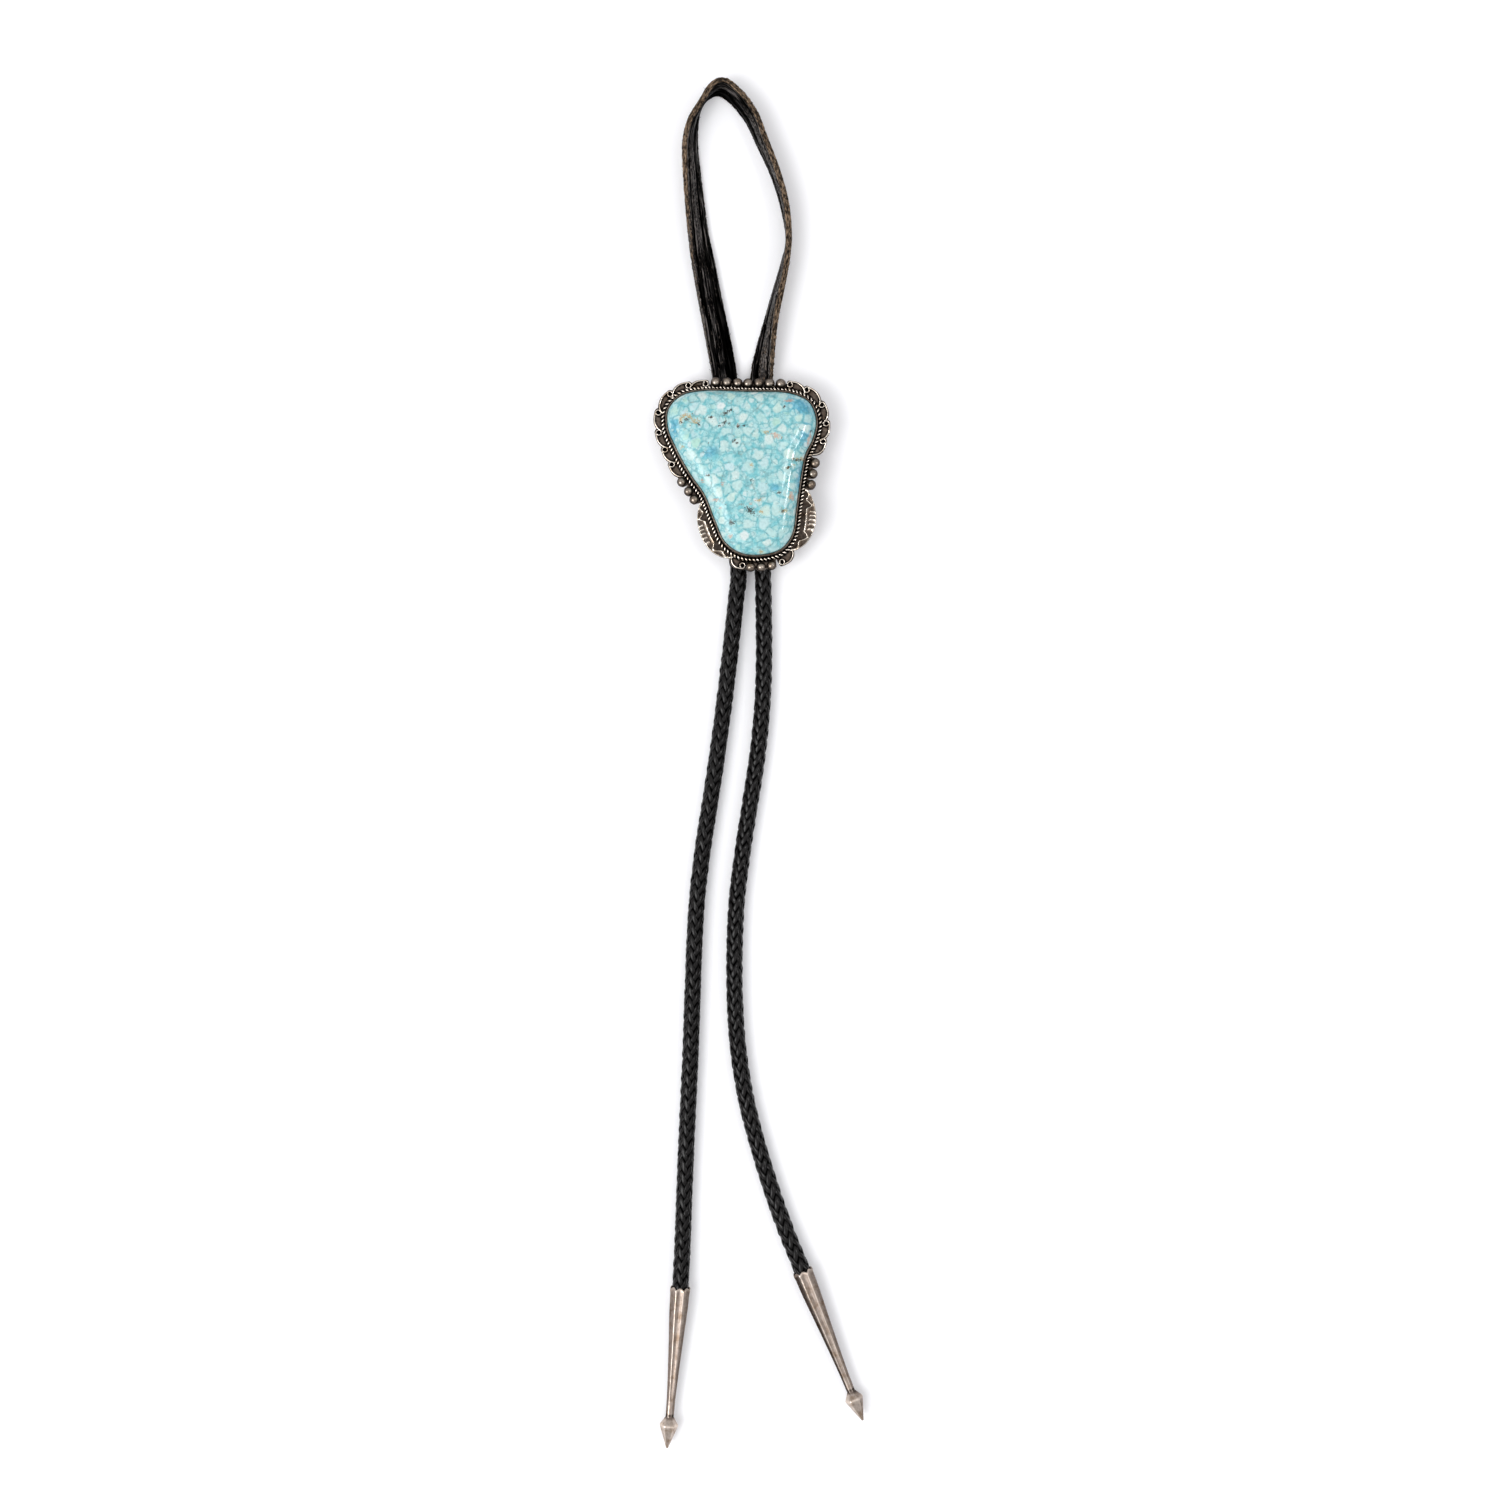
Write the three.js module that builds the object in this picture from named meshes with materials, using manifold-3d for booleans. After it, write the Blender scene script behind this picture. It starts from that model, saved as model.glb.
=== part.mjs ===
// Bolo tie laid on a table: a turquoise cabochon in a soldered silver setting, carried by a clip that
// slides on a leather neck strap. The strap's ends are braided into round tails with fluted silver tips.
// Millimetres, +Z up, +Y towards the neck strap. The origin is on the table, under the middle of the clip.
import * as THREE from "three";
import { mergeVertices } from "three/addons/utils/BufferGeometryUtils.js";
import Module from "manifold-3d";

const wasm = await Module();
wasm.setup();

// Clearance and heights above the table
const GAP = 0.3;
const CHANNEL_RADIUS = 3.3;
const CLIP_WALL = 0.8;
const CLIP_HEIGHT = 2 * (CHANNEL_RADIUS + CLIP_WALL);
const CHANNEL_HEIGHT = CLIP_HEIGHT / 2;
const PLATE_BOTTOM = CLIP_HEIGHT + GAP;
const PLATE_THICKNESS = 1.0;
const PLATE_TOP = PLATE_BOTTOM + PLATE_THICKNESS;

// Clip: a sleeve with one channel for each side of the leather
const CLIP_LENGTH = 24;
const CHANNEL_SPACING = 10.5;
const CHANNEL_SIDES = 12;

// Stone: plan outline, anticlockwise from the right waist, and the dome from the edge to the crown
const STONE_OUTLINE = [
  { x: 18.9, y: 0.5 },
  { x: 20.1, y: 6.2 },
  { x: 22.8, y: 12.0 },
  { x: 23.9, y: 18.0 },
  { x: 21.6, y: 24.2 },
  { x: 15.2, y: 27.3 },
  { x: 0.0, y: 28.0 },
  { x: -15.6, y: 28.2 },
  { x: -22.4, y: 26.6 },
  { x: -26.7, y: 22.2 },
  { x: -27.1, y: 16.0 },
  { x: -24.1, y: 8.4 },
  { x: -19.5, y: 0.0 },
  { x: -14.3, y: -7.6 },
  { x: -10.8, y: -16.3 },
  { x: -7.4, y: -23.6 },
  { x: -2.2, y: -27.4 },
  { x: 5.0, y: -28.1 },
  { x: 11.8, y: -26.1 },
  { x: 15.6, y: -21.2 },
  { x: 17.1, y: -11.8 },
];
const STONE_DOME = [
  { inset: 0.0, rise: 0.0 },
  { inset: 0.0, rise: 3.0 },
  { inset: 0.3, rise: 4.2 },
  { inset: 1.0, rise: 5.5 },
  { inset: 2.2, rise: 6.7 },
  { inset: 4.0, rise: 7.6 },
];
const STONE_CROWN = [
  { share: 0.7, rise: 8.1 },
  { share: 0.35, rise: 8.5 },
];
const OUTLINE_STEPS = 48;

// Setting: offsets are measured outwards from the stone's outline
const PLATE_OFFSET = 2.3;
const BEZEL_OFFSET = GAP;
const BEZEL_THICKNESS = 0.4;
const BEZEL_HEIGHT = 3.6;
const BEZEL_LEAN = 0.15;
const ROPE_OFFSET = 1.45;
const ROPE_RADIUS = 0.8;

// Rows of raindrops: first and last place as shares of the way round the outline, and their offset
const DROP_ROWS = [
  { first: 0.204, last: 0.33, offset: 3.3, count: 7 },
  { first: 0.574, last: 0.617, offset: 3.9, count: 3 },
  { first: 0.78, last: 0.815, offset: 4.0, count: 3 },
  { first: 0.979, last: 1.024, offset: 4.0, count: 3 },
];
const DROP_RADIUS = 1.7;
const DROP_SIDES = 10;
const DROP_BANDS = 6;

// Rows of wire scrolls: place of the first curl, the step to the next, towards the scroll's tail, and
// the offsets of the first and last curls
const SCROLL_ROWS = [
  { first: 0.349, step: 0.0312, count: 7, from: 2.9, to: 3.8 },
  { first: 0.188, step: -0.029, count: 5, from: 3.5, to: 3.6 },
  { first: 0.832, step: 0.022, count: 1, from: 3.9, to: 3.9 },
  { first: 0.767, step: -0.02, count: 1, from: 3.8, to: 3.8 },
];
const SCROLL_WIRE = 0.36;
const WIRE_SIDES = 6;
const SCROLL_MARGIN = 0.1;
const SCROLL_STEPS = 5;
const CURL_RADIUS = 0.78;
const CURL_SIDES = 8;
// Bow of a scroll: shares of its step along the outline, and distances out from its curl
const SCROLL_BOW = [
  { along: -0.18, out: 0.3 },
  { along: 0.05, out: 2.0 },
  { along: 0.75, out: 1.4 },
  { along: 1.0, out: -1.3 },
];

// Stamped crescents beside the foot of the stone
const CRESCENTS = [
  { first: 0.63, last: 0.75, widest: 6.6 },
  { first: 0.85, last: 0.97, widest: 7.4 },
];
const CRESCENT_STEPS = 14;
const CRESCENT_FULLNESS = 0.7;
const CRESCENT_RISE = 0.5;
const RIM_RADIUS = 0.45;
const ZIGZAG_RADIUS = 0.32;
const ZIGZAG_FOLDS = 11;
const ZIGZAG_ENDS = 0.12;
const ZIGZAG_SHARES = [0.35, 0.65];
const BAR_PLACES = [0.41, 0.5, 0.59];
const BAR_SHARES = [0.72, 0.95];

// Neck strap: the plan line, how far its upper edge leans outwards from upright, its width, and the
// lift of the stretch that runs through the clip
const STRAP_THICKNESS = 2.0;
const STRAP_STEPS = 60;
const STRAP_BOW = 0.2;
const STRAP_LINE = [
  { x: -5.25, y: 0.15, lean: 90, width: 5.4, lift: 2.9 },
  { x: -5.25, y: 13.0, lean: 90, width: 5.4, lift: 2.9 },
  { x: -6.2, y: 24.0, lean: 86, width: 7.2, lift: 1.4 },
  { x: -7.7, y: 35.5, lean: 80, width: 8.6, lift: 0 },
  { x: -9.6, y: 46.0, lean: 75, width: 8.7, lift: 0 },
  { x: -12.4, y: 59.9, lean: 64, width: 8.7, lift: 0 },
  { x: -15.0, y: 73.8, lean: 58, width: 8.7, lift: 0 },
  { x: -16.8, y: 84.3, lean: 46, width: 8.6, lift: 0 },
  { x: -18.0, y: 94.7, lean: 40, width: 8.6, lift: 0 },
  { x: -19.0, y: 105.2, lean: 34, width: 8.6, lift: 0 },
  { x: -19.6, y: 115.6, lean: 26, width: 8.6, lift: 0 },
  { x: -18.6, y: 123.0, lean: 16, width: 8.6, lift: 0 },
  { x: -15.8, y: 129.8, lean: 7, width: 8.6, lift: 0 },
  { x: -12.4, y: 134.0, lean: 12, width: 8.6, lift: 0 },
  { x: -8.7, y: 135.3, lean: 24, width: 8.6, lift: 0 },
  { x: -4.1, y: 132.3, lean: 24, width: 8.6, lift: 0 },
  { x: 1.4, y: 125.4, lean: 24, width: 8.6, lift: 0 },
  { x: 5.4, y: 116.4, lean: 22, width: 8.6, lift: 0 },
  { x: 10.1, y: 105.1, lean: 12, width: 8.6, lift: 0 },
  { x: 13.4, y: 93.5, lean: 6, width: 8.6, lift: 0 },
  { x: 14.6, y: 82.5, lean: 0, width: 8.6, lift: 0 },
  { x: 13.6, y: 75.5, lean: 8, width: 8.6, lift: 0 },
  { x: 11.4, y: 66.0, lean: 16, width: 8.6, lift: 0 },
  { x: 8.7, y: 55.0, lean: 23, width: 8.6, lift: 0 },
  { x: 6.7, y: 45.0, lean: 38, width: 8.6, lift: 0 },
  { x: 5.3, y: 35.5, lean: 60, width: 8.2, lift: 0.2 },
  { x: 5.1, y: 24.0, lean: 82, width: 6.8, lift: 1.6 },
  { x: 5.25, y: 13.0, lean: 90, width: 5.4, lift: 2.9 },
  { x: 5.25, y: 0.15, lean: 90, width: 5.4, lift: 2.9 },
];
// Creased inner face of the strap, from the lower edge to the upper: share of the half width, and depth
const STRAP_FACE = [
  { across: -1.0, depth: 0 },
  { across: -0.42, depth: 0.1 },
  { across: -0.3, depth: 0.5 },
  { across: -0.18, depth: 0.05 },
  { across: 0.2, depth: 0.05 },
  { across: 0.34, depth: 0.5 },
  { across: 0.48, depth: 0.1 },
  { across: 1.0, depth: 0 },
];

// Braided tails: eight strands, so that eight columns of crossings stand round the cord
const CORD_RADIUS = 3.0;
const BRAID_GROOVE = 0.5;
const BRAID_COLUMNS = 8;
const BRAID_ROW_PITCH = 2.15;
const TAIL_SOCKET = 6.0;
const TAIL_END_RADIUS = 2.65;
const LEFT_TAIL = [
  { x: -5.25, y: -0.15, z: CHANNEL_HEIGHT },
  { x: -5.25, y: -12.5, z: CHANNEL_HEIGHT },
  { x: -4.2, y: -23.5, z: 3.5 },
  { x: -2.8, y: -34.4, z: CORD_RADIUS },
  { x: -3.7, y: -43.1, z: CORD_RADIUS },
  { x: -5.6, y: -60.6, z: CORD_RADIUS },
  { x: -7.7, y: -78.0, z: CORD_RADIUS },
  { x: -10.0, y: -95.4, z: CORD_RADIUS },
  { x: -12.6, y: -112.9, z: CORD_RADIUS },
  { x: -15.3, y: -130.3, z: CORD_RADIUS },
  { x: -17.3, y: -147.7, z: CORD_RADIUS },
  { x: -18.3, y: -165.2, z: CORD_RADIUS },
  { x: -18.9, y: -182.6, z: CORD_RADIUS },
  { x: -19.5, y: -200.0, z: CORD_RADIUS },
  { x: -20.3, y: -217.5, z: CORD_RADIUS },
  { x: -21.1, y: -234.9, z: CORD_RADIUS },
  { x: -21.8, y: -252.3, z: CORD_RADIUS },
  { x: -22.4, y: -269.8, z: 3.2 },
];
const RIGHT_TAIL = [
  { x: 5.25, y: -0.15, z: CHANNEL_HEIGHT },
  { x: 5.25, y: -12.5, z: CHANNEL_HEIGHT },
  { x: 5.45, y: -23.5, z: 3.5 },
  { x: 5.7, y: -34.4, z: CORD_RADIUS },
  { x: 5.9, y: -43.1, z: CORD_RADIUS },
  { x: 6.1, y: -60.6, z: CORD_RADIUS },
  { x: 5.6, y: -78.0, z: CORD_RADIUS },
  { x: 4.0, y: -95.4, z: CORD_RADIUS },
  { x: 1.4, y: -112.9, z: CORD_RADIUS },
  { x: -1.3, y: -130.3, z: CORD_RADIUS },
  { x: -3.4, y: -147.7, z: CORD_RADIUS },
  { x: -4.2, y: -165.2, z: CORD_RADIUS },
  { x: -4.1, y: -182.6, z: CORD_RADIUS },
  { x: -2.9, y: -200.0, z: CORD_RADIUS },
  { x: -0.1, y: -217.5, z: CORD_RADIUS },
  { x: 4.4, y: -234.9, z: CORD_RADIUS },
  { x: 9.9, y: -252.3, z: CORD_RADIUS },
  { x: 14.4, y: -264.6, z: 3.2 },
];

// Fluted tips: mouth and heading in plan, and the profile along the cone from the mouth
const LEFT_TIP = { x: -23.1, y: -283.0, toX: -27.8, toY: -339.2 };
const RIGHT_TIP = { x: 19.6, y: -277.2, toX: 40.2, toY: -328.3 };
const TIP_FLUTES = 8;
const FLUTE_STEPS = 3;
const FLUTE_DEPTH = 0.06;
const MOUTH_RADIUS = 3.6;
const MOUTH_SCALLOP = 0.7;
const SOCKET_RADIUS = 3.25;
const SOCKET_FLOOR_RADIUS = 2.9;
const SOCKET_DEPTH = TAIL_SOCKET + GAP;
const CONE = [
  { along: 0.0, radius: MOUTH_RADIUS },
  { along: 8.0, radius: 3.35 },
  { along: 18.0, radius: 2.7 },
  { along: 32.0, radius: 1.9 },
  { along: 43.0, radius: 1.45 },
  { along: 46.0, radius: 1.4 },
];
const FINIAL_SIDES = 6;
const FINIAL = [
  { along: 44.6, radius: 1.1 },
  { along: 45.4, radius: 1.75 },
  { along: 48.2, radius: 3.3 },
  { along: 56.2, radius: 0.35 },
];

const FINISHES = {
  turquoise: { color: 0x8fd3d6, roughness: 0.15, metalness: 0 },
  silver: { color: 0x8d847c, roughness: 0.35, metalness: 1 },
  tipSilver: { color: 0xb0a497, roughness: 0.35, metalness: 1 },
  clipMetal: { color: 0xa09a92, roughness: 0.4, metalness: 1 },
  strapLeather: { color: 0x2a2624, roughness: 0.7, metalness: 0 },
  braidLeather: { color: 0x1a1817, roughness: 0.5, metalness: 0 },
};

const UP = new THREE.Vector3(0, 0, 1);
const WELD = 1e-4;

// A closed body from points and triangles, with its faces turned outwards
function closedBody(points, triangles) {
  const volume = triangles.reduce((sum, [a, b, c]) => {
    const normal = new THREE.Vector3().crossVectors(points[b], points[c]);
    return sum + points[a].dot(normal);
  }, 0);
  const facing = volume < 0 ? triangles.map(([a, b, c]) => [a, c, b]) : triangles;
  const geometry = new THREE.BufferGeometry().setFromPoints(points);
  geometry.setIndex(facing.flat());
  geometry.computeVertexNormals();
  return geometry;
}

// A skin through rings of points: a loop joins its last ring to its first, and open ends are capped.
// Where cross is given, it says for each ring and side which way the square there is halved.
function loft(rings, { loop = false, cross = () => false } = {}) {
  const sides = rings[0].length;
  const points = rings.flat();
  const triangles = [];
  const spans = loop ? rings.length : rings.length - 1;
  for (let i = 0; i < spans; i++) {
    const here = i * sides;
    const there = ((i + 1) % rings.length) * sides;
    for (let k = 0; k < sides; k++) {
      const next = (k + 1) % sides;
      const [a, b, c, d] = [here + k, here + next, there + next, there + k];
      if (cross(i, k)) triangles.push([a, b, d], [b, c, d]);
      else triangles.push([a, b, c], [a, c, d]);
    }
  }
  if (!loop) {
    const cap = (ring, start, turn) => {
      const middle = ring.reduce((sum, p) => sum.add(p), new THREE.Vector3()).divideScalar(sides);
      const hub = points.push(middle) - 1;
      for (let k = 0; k < sides; k++) {
        const edge = [start + k, start + ((k + 1) % sides)];
        triangles.push(turn ? [hub, edge[1], edge[0]] : [hub, edge[0], edge[1]]);
      }
    };
    cap(rings[0], 0, true);
    cap(rings.at(-1), (rings.length - 1) * sides, false);
  }
  return closedBody(points, triangles);
}

// Points of a round section about a centre, in the plane of two axes
function ringPoints(centre, across, upward, sides, radiusAt) {
  return Array.from({ length: sides }, (_, k) => {
    const angle = (2 * Math.PI * k) / sides;
    const radius = radiusAt(k);
    return centre
      .clone()
      .addScaledVector(across, radius * Math.cos(angle))
      .addScaledVector(upward, radius * Math.sin(angle));
  });
}

// A round wire along points that lie level, half sunk in the face that it lies on
function wire(points, radius, loop = false) {
  const rings = points.map((point, i) => {
    const before = points[i - 1] ?? (loop ? points.at(-1) : point);
    const after = points[i + 1] ?? (loop ? points[0] : point);
    const along = after.clone().sub(before).normalize();
    const across = new THREE.Vector3(along.y, -along.x, 0);
    return ringPoints(point, across, UP, WIRE_SIDES, () => radius);
  });
  return loft(rings, { loop });
}

function solidFrom(geometry) {
  const bare = geometry.clone();
  bare.deleteAttribute("normal");
  bare.deleteAttribute("uv");
  const { attributes, index } = mergeVertices(bare, WELD);
  const mesh = new wasm.Mesh({
    numProp: 3,
    vertProperties: attributes.position.array,
    triVerts: new Uint32Array(index.array),
  });
  return new wasm.Manifold(mesh);
}

function geometryFrom(solid) {
  const { vertProperties, triVerts } = solid.getMesh();
  const geometry = new THREE.BufferGeometry();
  geometry.setAttribute("position", new THREE.BufferAttribute(vertProperties.slice(), 3));
  geometry.setIndex(new THREE.BufferAttribute(triVerts.slice(), 1));
  geometry.computeVertexNormals();
  return geometry;
}

const fuse = (geometries) => geometries.map(solidFrom).reduce((whole, piece) => whole.add(piece));

// The stone's outline, by share of the way round, and places beside it
const outline = new THREE.CatmullRomCurve3(
  STONE_OUTLINE.map(({ x, y }) => new THREE.Vector3(x, y, 0)),
  true,
  "centripetal",
);
outline.arcLengthDivisions = 1200;

function beside(share, offset, z) {
  const turn = share - Math.floor(share);
  const point = outline.getPointAt(turn);
  const along = outline.getTangentAt(turn);
  return new THREE.Vector3(point.x + along.y * offset, point.y - along.x * offset, z);
}

function outlineRing(offset, z) {
  return Array.from({ length: OUTLINE_STEPS }, (_, i) => beside(i / OUTLINE_STEPS, offset, z));
}

// A flat plate between two heights, cut to a plan outline
function plate(points, bottom, thickness) {
  const shape = new THREE.Shape(points.map(({ x, y }) => new THREE.Vector2(x, y)));
  const geometry = new THREE.ExtrudeGeometry(shape, { depth: thickness, bevelEnabled: false });
  return geometry.translate(0, 0, bottom);
}

// A round piece of the back plate, as a seat for a drop or a curl
function pad(x, y, radius, sides) {
  const disc = new THREE.CylinderGeometry(radius, radius, PLATE_THICKNESS, sides, 1, false, Math.PI / 2);
  return disc.rotateX(Math.PI / 2).translate(x, y, (PLATE_BOTTOM + PLATE_TOP) / 2);
}

function stoneGeometry() {
  const base = PLATE_TOP + GAP;
  const dome = STONE_DOME.map(({ inset, rise }) => outlineRing(-inset, base + rise));
  const shoulder = dome.at(-1);
  const middle = shoulder.reduce((sum, p) => sum.add(p), new THREE.Vector3()).divideScalar(shoulder.length);
  const crown = STONE_CROWN.map(({ share, rise }) =>
    shoulder.map((p) => middle.clone().lerp(p, share).setZ(base + rise)),
  );
  return loft([...dome, ...crown]);
}

function bezelGeometry() {
  const rings = Array.from({ length: OUTLINE_STEPS }, (_, i) => {
    const share = i / OUTLINE_STEPS;
    const outer = BEZEL_OFFSET + BEZEL_THICKNESS;
    return [
      beside(share, BEZEL_OFFSET, PLATE_TOP),
      beside(share, outer, PLATE_TOP),
      beside(share, outer - BEZEL_LEAN, PLATE_TOP + BEZEL_HEIGHT),
      beside(share, BEZEL_OFFSET - BEZEL_LEAN, PLATE_TOP + BEZEL_HEIGHT),
    ];
  });
  return loft(rings, { loop: true });
}

function ropeGeometry() {
  return wire(outlineRing(ROPE_OFFSET, PLATE_TOP), ROPE_RADIUS, true);
}

// Points along the outline between two places, at an offset that may change on the way
function strip(first, last, steps, offsetAt, z) {
  return Array.from({ length: steps + 1 }, (_, i) => {
    const t = i / steps;
    return beside(THREE.MathUtils.lerp(first, last, t), offsetAt(t), z);
  });
}

function dropRow({ first, last, offset, count }) {
  const sunk = DROP_RADIUS / 2;
  const seatRadius = Math.sqrt(DROP_RADIUS ** 2 - sunk ** 2);
  const drops = strip(first, last, count - 1, () => offset, PLATE_TOP + sunk).flatMap(({ x, y, z }) => [
    new THREE.SphereGeometry(DROP_RADIUS, DROP_SIDES, DROP_BANDS).rotateX(Math.PI / 2).translate(x, y, z),
    pad(x, y, seatRadius, DROP_SIDES),
  ]);
  const outer = strip(first, last, count, () => offset, 0);
  const inner = strip(last, first, count, () => ROPE_OFFSET, 0);
  return [...drops, plate([...outer, ...inner], PLATE_BOTTOM, PLATE_THICKNESS)];
}

function scroll(place, step, offset) {
  const controls = SCROLL_BOW.map(({ along, out }) => new THREE.Vector2(along, offset + out));
  const bow = new THREE.CubicBezierCurve(...controls).getPoints(SCROLL_STEPS);
  const line = bow.map(({ x, y }) => beside(place + x * step, y, PLATE_TOP));
  const edge = bow.map(({ x, y }) => beside(place + x * step, y + SCROLL_WIRE + SCROLL_MARGIN, PLATE_TOP));
  const root = [1, 0].map((share) => beside(place + share * step, ROPE_OFFSET, PLATE_TOP));
  const { x, y, z } = beside(place, offset, PLATE_TOP);
  const curl = new THREE.TorusGeometry(CURL_RADIUS, SCROLL_WIRE, WIRE_SIDES, CURL_SIDES);
  return [
    wire(line, SCROLL_WIRE),
    curl.translate(x, y, z),
    pad(x, y, CURL_RADIUS + SCROLL_WIRE, CURL_SIDES),
    plate([...edge, ...root], PLATE_BOTTOM, PLATE_THICKNESS),
  ];
}

function crescent({ first, last, widest }) {
  const swell = (t) => Math.max(Math.sin(Math.PI * t), 0) ** CRESCENT_FULLNESS;
  const edge = (t) => THREE.MathUtils.lerp(PLATE_OFFSET, widest, swell(t));
  const level = PLATE_TOP + CRESCENT_RISE;
  const inner = strip(last, first, CRESCENT_STEPS, () => ROPE_OFFSET, 0);
  const outer = strip(first, last, CRESCENT_STEPS, edge, 0);
  const rim = strip(first, last, CRESCENT_STEPS, (t) => edge(t) - RIM_RADIUS, level);
  const placeAt = (t) => THREE.MathUtils.lerp(first, last, t);
  const widthShare = (t, share) => THREE.MathUtils.lerp(PLATE_OFFSET, edge(t), share);
  const zigzag = Array.from({ length: ZIGZAG_FOLDS }, (_, i) => {
    const t = THREE.MathUtils.lerp(ZIGZAG_ENDS, 1 - ZIGZAG_ENDS, i / (ZIGZAG_FOLDS - 1));
    return beside(placeAt(t), widthShare(t, ZIGZAG_SHARES[i % 2]), level);
  });
  const bars = BAR_PLACES.map((t) => {
    const ends = BAR_SHARES.map((share) => beside(placeAt(t), widthShare(t, share), level));
    return wire(ends, ZIGZAG_RADIUS);
  });
  return [
    plate([...outer, ...inner], PLATE_BOTTOM, PLATE_THICKNESS + CRESCENT_RISE),
    wire(rim, RIM_RADIUS),
    wire(zigzag, ZIGZAG_RADIUS),
    ...bars,
  ];
}

function settingGeometry() {
  const scrolls = SCROLL_ROWS.flatMap(({ first, step, count, from, to }) =>
    Array.from({ length: count }, (_, i) =>
      scroll(first + i * step, step, THREE.MathUtils.lerp(from, to, i / Math.max(count - 1, 1))),
    ).flat(),
  );
  const whole = fuse([
    plate(outlineRing(PLATE_OFFSET, 0), PLATE_BOTTOM, PLATE_THICKNESS),
    bezelGeometry(),
    ropeGeometry(),
    ...DROP_ROWS.flatMap(dropRow),
    ...scrolls,
    ...CRESCENTS.flatMap(crescent),
  ]);
  return geometryFrom(whole);
}

function clipGeometry() {
  const outerRadius = CHANNEL_RADIUS + CLIP_WALL;
  const half = CHANNEL_SPACING / 2;
  const shape = new THREE.Shape();
  shape.absarc(half, 0, outerRadius, -Math.PI / 2, Math.PI / 2);
  shape.absarc(-half, 0, outerRadius, Math.PI / 2, (3 * Math.PI) / 2);
  const channel = (x) => new THREE.Path().absarc(x, 0, CHANNEL_RADIUS, 0, 2 * Math.PI, true);
  shape.holes = [channel(half), channel(-half)];
  const geometry = new THREE.ExtrudeGeometry(shape, {
    depth: CLIP_LENGTH,
    bevelEnabled: false,
    curveSegments: CHANNEL_SIDES,
  });
  return geometry.rotateX(Math.PI / 2).translate(0, CLIP_LENGTH / 2, CHANNEL_HEIGHT);
}

function strapGeometry() {
  const line = new THREE.CatmullRomCurve3(STRAP_LINE.map(({ x, y }) => new THREE.Vector3(x, y, 0)));
  const set = new THREE.CatmullRomCurve3(
    STRAP_LINE.map(({ lean, width, lift }) => new THREE.Vector3(lean, width, lift)),
    false,
    "catmullrom",
  );
  const back = [
    { across: 1, depth: STRAP_THICKNESS },
    { across: 0, depth: STRAP_THICKNESS + STRAP_BOW },
    { across: -1, depth: STRAP_THICKNESS },
  ];
  const section = [...STRAP_FACE, ...back];
  const rings = Array.from({ length: STRAP_STEPS + 1 }, (_, i) => {
    const t = i / STRAP_STEPS;
    const { x: lean, y: width, z: lift } = set.getPoint(t);
    const outwards = new THREE.Vector3().crossVectors(UP, line.getTangent(t));
    const angle = THREE.MathUtils.degToRad(Math.max(lean, 0));
    const [upright, flat] = [Math.cos(angle), Math.sin(angle)];
    const acrossAxis = UP.clone().multiplyScalar(upright).addScaledVector(outwards, flat);
    const faceAxis = UP.clone().multiplyScalar(flat).addScaledVector(outwards, -upright);
    const rest = (upright * width) / 2 + flat * (STRAP_THICKNESS / 2 + STRAP_BOW);
    const centre = line.getPoint(t).setZ(rest + Math.max(lift, 0));
    return section.map(({ across, depth }) =>
      centre
        .clone()
        .addScaledVector(acrossAxis, (across * width) / 2)
        .addScaledVector(faceAxis, STRAP_THICKNESS / 2 - depth),
    );
  });
  return loft(rings);
}

const tipMouth = ({ x, y }) => new THREE.Vector3(x, y, MOUTH_RADIUS);

function tipHeading({ x, y, toX, toY }) {
  const run = Math.hypot(toX - x, toY - y);
  const [shoulder] = FINIAL.toSorted((a, b) => b.radius - a.radius);
  const drop = ((MOUTH_RADIUS - shoulder.radius) * run) / shoulder.along;
  return new THREE.Vector3(toX - x, toY - y, -drop).normalize();
}

// A braided tail from the clip to the socket of its tip: crossings stand proud and the gaps between
// them are sunk, in eight columns whose rows alternate
function tailGeometry(table, tip) {
  const heading = tipHeading(tip);
  const mouth = tipMouth(tip);
  const end = mouth.clone().addScaledVector(heading, TAIL_SOCKET);
  const points = table.map(({ x, y, z }) => new THREE.Vector3(x, y, z));
  const line = new THREE.CatmullRomCurve3([...points, mouth, end]);
  line.arcLengthDivisions = 1200;
  const length = line.getLength();
  const rows = Math.round(length / BRAID_ROW_PITCH);
  const rings = Array.from({ length: rows + 1 }, (_, row) => {
    const along = line.getTangentAt(row / rows);
    const across = new THREE.Vector3().crossVectors(along, UP).normalize();
    const upward = new THREE.Vector3().crossVectors(across, along);
    const left = length * (1 - row / rows);
    const squeeze = THREE.MathUtils.clamp(1 - left / TAIL_SOCKET, 0, 1);
    const proud = THREE.MathUtils.lerp(CORD_RADIUS, TAIL_END_RADIUS, squeeze);
    return ringPoints(line.getPointAt(row / rows), across, upward, BRAID_COLUMNS, (k) =>
      (row + k) % 2 ? proud - BRAID_GROOVE : proud,
    );
  });
  return loft(rings, { cross: (row, k) => (row + k) % 2 === 0 });
}

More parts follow.
